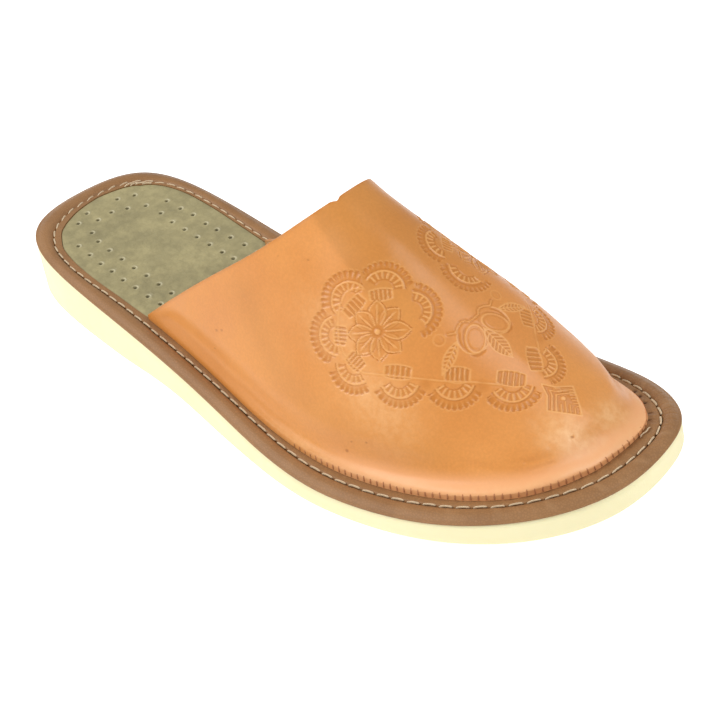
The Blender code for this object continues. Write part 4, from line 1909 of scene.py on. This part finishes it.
def bead(sides: int, rings: int) -> Mesh:
    """A round-ended body of radius 1 along X.

    Args:
        sides: faces round it.
        rings: faces from end to end.

    Returns:
        Its mesh.
    """
    mesh = bmesh.new()
    bmesh.ops.create_uvsphere(mesh, u_segments=sides, v_segments=rings, radius=1.0)
    bmesh.ops.rotate(mesh, verts=mesh.verts, cent=(0.0, 0.0, 0.0), matrix=Matrix.Rotation(math.pi / 2, 3, "Y"))
    for vert in mesh.verts:
        ends = math.sqrt(max(0.0, 1 - vert.co.x**2))
        if ends > 1e-4:
            fuller = min(1.0, ends * 1.7) / ends
            vert.co.y *= fuller
            vert.co.z *= fuller
    return mesh


def strand_map(local: Array) -> Array:
    """Returns a bead's flat places: along it, and round it in half turns."""
    return np.column_stack([local[:, 0], np.arctan2(local[:, 2], local[:, 1]) / math.pi])


@dataclass
class Footbed:
    """The olive sock inside the binding, cupped a little in the middle, with rows of air holes.

    The holes' places are millimetres from the heel's back, along and across.
    """

    sole: Sole
    thickness: float = 0.0021
    rounding: float = 0.0007
    cup: float = 0.0006
    cup_inset: float = 0.016
    hole: float = 0.00067
    columns: int = 420
    rows_across: int = 44
    lift: float = 0.00003
    lip_height: float = 0.00020
    hole_depth: float = 0.0010
    air_holes: tuple[Spot, ...] = (
        (34.1, -27.8), (42.7, -28.3), (51.1, -28.9), (58.7, -28.9), (66.7, -29.4), (74.3, -29.1),
        (82.4, -29.2), (89.8, -28.8), (97.6, -28.7), (105.4, -28.7), (113.2, -28.8), (121.0, -29.0),
        (37.6, -20.2), (46.2, -20.9), (55.0, -21.1), (63.5, -21.4), (71.3, -21.1), (79.5, -21.3),
        (87.6, -21.5), (95.6, -21.5), (103.6, -21.6), (111.6, -21.8), (119.6, -22.0),
        (20.6, -18.1), (17.3, -11.2), (30.4, -18.2), (24.8, -10.9), (24.7, -3.6), (19.0, 4.0),
        (27.8, 2.7), (22.5, 10.8), (32.5, 9.2), (37.2, 17.1),
        (42.0, 9.9), (50.8, 8.9), (59.1, 9.0), (67.2, 9.0), (75.2, 9.1), (83.0, 9.2), (89.7, 9.5),
        (97.4, 9.7), (105.2, 9.9), (113.0, 10.2),
        (46.3, 17.4), (54.1, 17.9), (63.1, 17.3), (70.1, 17.5), (78.5, 17.9), (86.7, 18.3),
        (94.4, 18.3), (102.4, 18.6), (110.4, 19.0), (118.4, 19.4),
    )

    def depth(self, plan: Array) -> Array:
        """How deep plan points lie inside the outline.

        Args:
            plan: the points, one a row.

        Returns:
            Each one's distance to the outline.
        """
        ring = self.sole.points[::4]
        gaps = plan[:, None, :] - ring[None, :, :]
        return np.sqrt((gaps**2).sum(axis=2).min(axis=1))

    def crown(self, plan: Array) -> Array:
        """Returns the top's height over the foam at plan points."""
        sunk = self.cup * np.clip((self.depth(plan) - 0.009) / self.cup_inset, 0.0, 1.0)
        return self.thickness + self.lift - sunk

    def across(self, inset: float) -> tuple[Mesh, Array]:
        """A grid across the footbed.

        Args:
            inset: how far inside the footbed's edge it ends.

        Returns:
            The grid's mesh, still flat, and its plan points.
        """
        mesh = flat_grid(self.columns // 2, self.rows_across)
        flat = coordinates(mesh)
        ends = []
        for way in (flat[:, 0] / 2, 1.0 - flat[:, 0] / 2):
            ends.append(self.sole.plan(way, self.sole.strip_inset(way) + self.lift + inset))
        return mesh, ends[0] + (ends[1] - ends[0]) * flat[:, 1:2]

    def punch(self, mesh: Mesh) -> None:
        """Makes the top finer at the air holes and sinks them, each with a small lip. It marks painted shade in the
        pits and a painted highlight on the lit side of each lip.

        Args:
            mesh: the closed sock.
        """
        centres = np.array(self.air_holes) * MM - self.sole.centre
        centres[:, 1] += 0.0005
        faces = list(mesh.faces)
        middles = np.array([face.calc_center_median()[:] for face in faces])
        level = self.sole.top(middles[:, 0] + self.sole.centre[0]) + 0.5 * self.thickness
        gaps = np.linalg.norm(middles[:, None, :2] - centres[None, :, :], axis=2).min(axis=1)
        chosen = [face for face, gap, high in zip(faces, gaps, middles[:, 2] > level) if gap < 0.0021 and high]
        edges = list({edge for face in chosen for edge in face.edges})
        bmesh.ops.subdivide_edges(mesh, edges=edges, cuts=5, use_grid_fill=True)
        points = coordinates(mesh)
        level = self.sole.top(points[:, 0] + self.sole.centre[0]) + 0.5 * self.thickness
        gaps = np.linalg.norm(points[:, None, :2] - centres[None, :, :], axis=2)
        nearest = np.argmin(gaps, axis=1)
        radius = gaps[np.arange(len(points)), nearest]
        toward = points[:, :2] - centres[nearest]
        up = points[:, 2] > level
        pit = (1 - step(radius, 0.72 * self.hole, 1.28 * self.hole)) * up
        ring = bell(radius - 1.75 * self.hole, 0.6 * self.hole) * up
        facing = (0.25 * toward[:, 0] + 0.97 * toward[:, 1]) / np.maximum(radius, 1e-5)
        side = np.clip(0.5 + 0.5 * facing, 0.0, 1.0) ** 1.5
        points[:, 2] += -self.hole_depth * pit + self.lip_height * ring * (0.3 + side)
        place(mesh, points)
        # painted shade in the pits
        mark(mesh, "hole", pit)
        # painted highlight on the lit side of each lip
        mark(mesh, "lip", ring * side)

    def build(self, material: Material) -> Object:
        """Builds the piece.

        Args:
            material: its finish.

        Returns:
            The finished object.
        """
        sole = self.sole
        rim = flat_grid(self.columns, 7)
        flat = coordinates(rim)
        row = np.rint(flat[:, 1] * 7).astype(int)
        way = flat[:, 0]
        inward = np.array((0.0, 0.0, 0.25, 1.0, 2.6, 4.6, 6.6, 8.6))[row] * self.rounding
        drop = np.array((3.0, 1.0, 0.3, 0.0, 0.0, 0.0, 0.0, 0.0))[row] * self.rounding
        plan = sole.plan(way, sole.strip_inset(way) + self.lift + inward)
        lift = np.where(row == 0, self.lift, self.crown(plan) - drop)
        place(rim, sole.world(np.column_stack([plan, sole.top(plan[:, 0]) + lift])))
        middle, plan = self.across(8.6 * self.rounding)
        place(middle, sole.world(np.column_stack([plan, sole.top(plan[:, 0]) + self.crown(plan)])))
        base, plan = self.across(0.0)
        place(base, sole.world(np.column_stack([plan, sole.top(plan[:, 0]) + self.lift])))
        mesh = joined([rim, middle, base])
        weld(mesh, 2e-5)
        self.punch(mesh)
        return Piece("footbed_sock", "olive_leather", material, ("footbed",)).finish(mesh)


@dataclass
class EdgeTicks:
    """The short dark stitches up the vamp's lower edge."""

    sole: Sole
    pitch: float = 0.00255
    length: float = 0.0024
    width: float = 0.00029
    height: float = 0.00020
    sway: float = 0.00012
    lean: float = -0.40
    stretch: Range = (0.24, 0.76)

    def build(self, upper: Object, material: Material) -> Object:
        """Lays the ticks on the finished upper.

        Args:
            upper: the vamp's object.
            material: the ticks' thread.

        Returns:
            The finished object.
        """
        tree = BVHTree.FromObject(upper, bpy.context.evaluated_depsgraph_get())
        way = np.linspace(*self.stretch, 1201)
        plan = self.sole.plan(way, self.sole.foot_inset(way))
        run = np.concatenate([[0.0], np.cumsum(np.linalg.norm(np.diff(plan, axis=0), axis=1))])
        ticks = []
        for index in range(int(run[-1] / self.pitch)):
            at = np.array([np.interp((index + 0.5) * self.pitch, run, way)])
            tick = self.tick(tree, index, at)
            if tick is not None:
                ticks.append(tick)
        return Piece("edge_ticks", "", material).finish(joined(ticks))

    def tick(self, tree: BVHTree, index: int, at: Array) -> Optional[Mesh]:
        """One tick, bent over the vamp's edge. It is fainter toward the ends of the stretch.

        Args:
            tree: the vamp's surface.
            index: the tick's number, which sways it a little.
            at: its place round the outline, as a row of one.

        Returns:
            Its mesh, or None where the thread is worn away or the vamp is out of reach.
        """
        sole = self.sole
        gap = step(at, 0.505, 0.53)[0] * (1 - step(at, 0.575, 0.60)[0])
        strength = float(step(at, 0.285, 0.325)[0] * (1 - step(at, 0.69, 0.74)[0]) * (1 - gap))
        if strength < 0.1:
            return None
        spot = sole.plan(at, sole.foot_inset(at))[0]
        out = sole.read(sole.outward, at)[0]
        length = self.length * (0.45 + 0.40 * strength + 0.10 * math.sin(index * 1.7))
        base = sole.top(spot[:1])[0] + sole.strip_height + 0.0002
        lean = self.lean * float(bell(at - 0.480, 0.040)[0])
        origin = sole.world(np.array([[spot[0], spot[1], base]]))[0]
        away = np.array([0.75 * out[0], 0.75 * out[1], 0.66])
        climb = np.array([-0.66 * out[0] - lean * out[1], -0.66 * out[1] + lean * out[0], 0.75])
        hits = []
        for rise in (0.0001, 0.5 * length, length):
            found = tree.ray_cast(Vector(origin + 0.02 * away + rise * climb), Vector(-away))
            if found[0] is None:
                return None
            hits.append(np.array(found[0]))
        foot, belly, top = hits
        axis = Vector(top - foot).normalized()
        normal = Vector(away)
        normal = (normal - normal.dot(axis) * axis).normalized()
        side = np.array(axis.cross(normal))
        capsule = bead(6, 8)
        local = coordinates(capsule)
        t = (local[:, :1] + 1) / 2
        bent = foot * (1 - t) * (1 - 2 * t) + belly * 4 * t * (1 - t) + top * t * (2 * t - 1)
        sway = self.sway * math.sin(index * 2.1) * (t - 0.5)
        points = bent + (local[:, 1:2] * self.width * (0.4 + 0.6 * strength) + sway) * side
        place(capsule, points + local[:, 2:] * self.height * np.array(normal))
        store_flat(capsule, "stitch", strand_map(local))
        return capsule


# The picture


@dataclass(frozen=True)
class Studio:
    """A pale floor, soft light and the camera of the photo, re-aimed at the slipper."""

    eye: Triple = (0.2874, -0.2218, 0.2930)
    right: Triple = (0.70902861, 0.69665775, -0.10929964)
    up: Triple = (-0.38700927, 0.51398716, 0.76553316)
    ahead: Triple = (-0.58949322, 0.50048494, -0.63404461)
    lens: float = 60.177
    sky: float = 0.47
    floor_glow: float = 0.38
    floor_seen: float = 0.22
    floor_size: float = 6.0

    def build(self) -> None:
        """Builds the floor, the lights and the camera."""
        mesh = bmesh.new()
        bmesh.ops.create_grid(mesh, x_segments=1, y_segments=1, size=self.floor_size)
        data = bpy.data.meshes.new("floor")
        mesh.to_mesh(data)
        mesh.free()
        floor = bpy.data.objects.new("floor", data)
        material = bpy.data.materials.new("floor_paper")
        material.use_nodes = True
        shader = material.node_tree.nodes["Principled BSDF"]
        shader.inputs["Base Color"].default_value = (0.93, 0.93, 0.93, 1.0)
        shader.inputs["Roughness"].default_value = 0.9
        shader.inputs["Specular IOR Level"].default_value = 0.1
        shader.inputs["Emission Color"].default_value = (1.0, 1.0, 1.0, 1.0)
        nodes = Nodes(material.node_tree)
        seen = nodes.add("ShaderNodeLightPath").outputs["Is Camera Ray"]
        glow = nodes.sum("MULTIPLY_ADD", seen, self.floor_seen, self.floor_glow)
        nodes.join(glow, shader.inputs["Emission Strength"])
        data.materials.append(material)
        bpy.context.scene.collection.objects.link(floor)
        floor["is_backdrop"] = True
        bpy.context.scene.view_settings.view_transform = "Standard"
        world = bpy.data.worlds.new("studio")
        world.use_nodes = True
        world.node_tree.nodes["Background"].inputs["Color"].default_value = (1.0, 1.0, 1.0, 1.0)
        world.node_tree.nodes["Background"].inputs["Strength"].default_value = self.sky
        bpy.context.scene.world = world
        self.lamp("key", (-0.70, -0.90, 0.90), 0.8, 12.0)
        self.lamp("toe", (0.75, 0.20, 0.95), 0.7, 6.0)
        data = bpy.data.cameras.new("camera")
        camera = bpy.data.objects.new("camera", data)
        bpy.context.scene.collection.objects.link(camera)
        bpy.context.scene.camera = camera
        data.sensor_width = 36.0
        data.lens = self.lens
        data.clip_start, data.clip_end = 0.01, 20.0
        right, up, ahead = (Vector(row) for row in (self.right, self.up, self.ahead))
        turn = Matrix((right, up, -ahead)).transposed()
        camera.matrix_world = Matrix.LocRotScale(Vector(self.eye), turn.to_quaternion(), None)

    def lamp(self, name: str, place_at: Triple, size: float, power: float) -> None:
        """Adds a soft square lamp that points at the slipper.

        Args:
            name: its name.
            place_at: where it hangs.
            size: its side.
            power: its strength in watts.
        """
        data = bpy.data.lights.new(name, "AREA")
        data.shape = "SQUARE"
        data.size = size
        data.energy = power
        lamp = bpy.data.objects.new(name, data)
        lamp.location = place_at
        lamp.rotation_mode = "QUATERNION"
        lamp.rotation_quaternion = (Vector((0.0, 0.0, 0.03)) - Vector(place_at)).to_track_quat("-Z", "Y")
        bpy.context.scene.collection.objects.link(lamp)


def main() -> None:
    """Builds the slipper's pieces and the studio, and notes the sizes."""
    logging.basicConfig(level=logging.INFO, format="%(name)s: %(message)s")
    sole = Sole()
    tan = TanLeather("tan_tooled", (0.74, 0.305, 0.072), (0.64, 0.240, 0.052), 0.34).build()
    brown = BrownLeather("brown_grained", (0.37, 0.192, 0.080), (0.27, 0.132, 0.052), 0.46).build()
    olive = OliveLeather("olive_pebbled", (0.40, 0.345, 0.175), (0.30, 0.26, 0.135), 0.5).build()
    cream = CreamFoam("cream_foam", (0.90, 0.83, 0.52), (0.86, 0.785, 0.48), 0.6).build()
    pale = Thread("pale_thread", (0.95, 0.77, 0.52), (0.68, 0.49, 0.30), 0.7).build()
    dark = Thread("dark_thread", (0.70, 0.30, 0.135), (0.54, 0.205, 0.085), 0.7).build()
    seam = Seam(sole)
    Outsole(sole).build(cream)
    binding = Binding(sole, seam)
    binding.build(brown)
    binding.stitches(pale)
    Footbed(sole).build(olive)
    upper = Vamp(sole, Ornament()).build(tan)
    EdgeTicks(sole).build(upper, dark)
    Studio().build()
    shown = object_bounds()
    sizes = {"cad": [list(corner) for corner in CAD_BOX], "shown": [list(corner) for corner in shown]}
    for name, box in sizes.items():
        LOG.info("%s box in millimetres: %s", name, [[round(v / MM, 2) for v in corner] for corner in box])


if __name__ == "__main__":
    main()
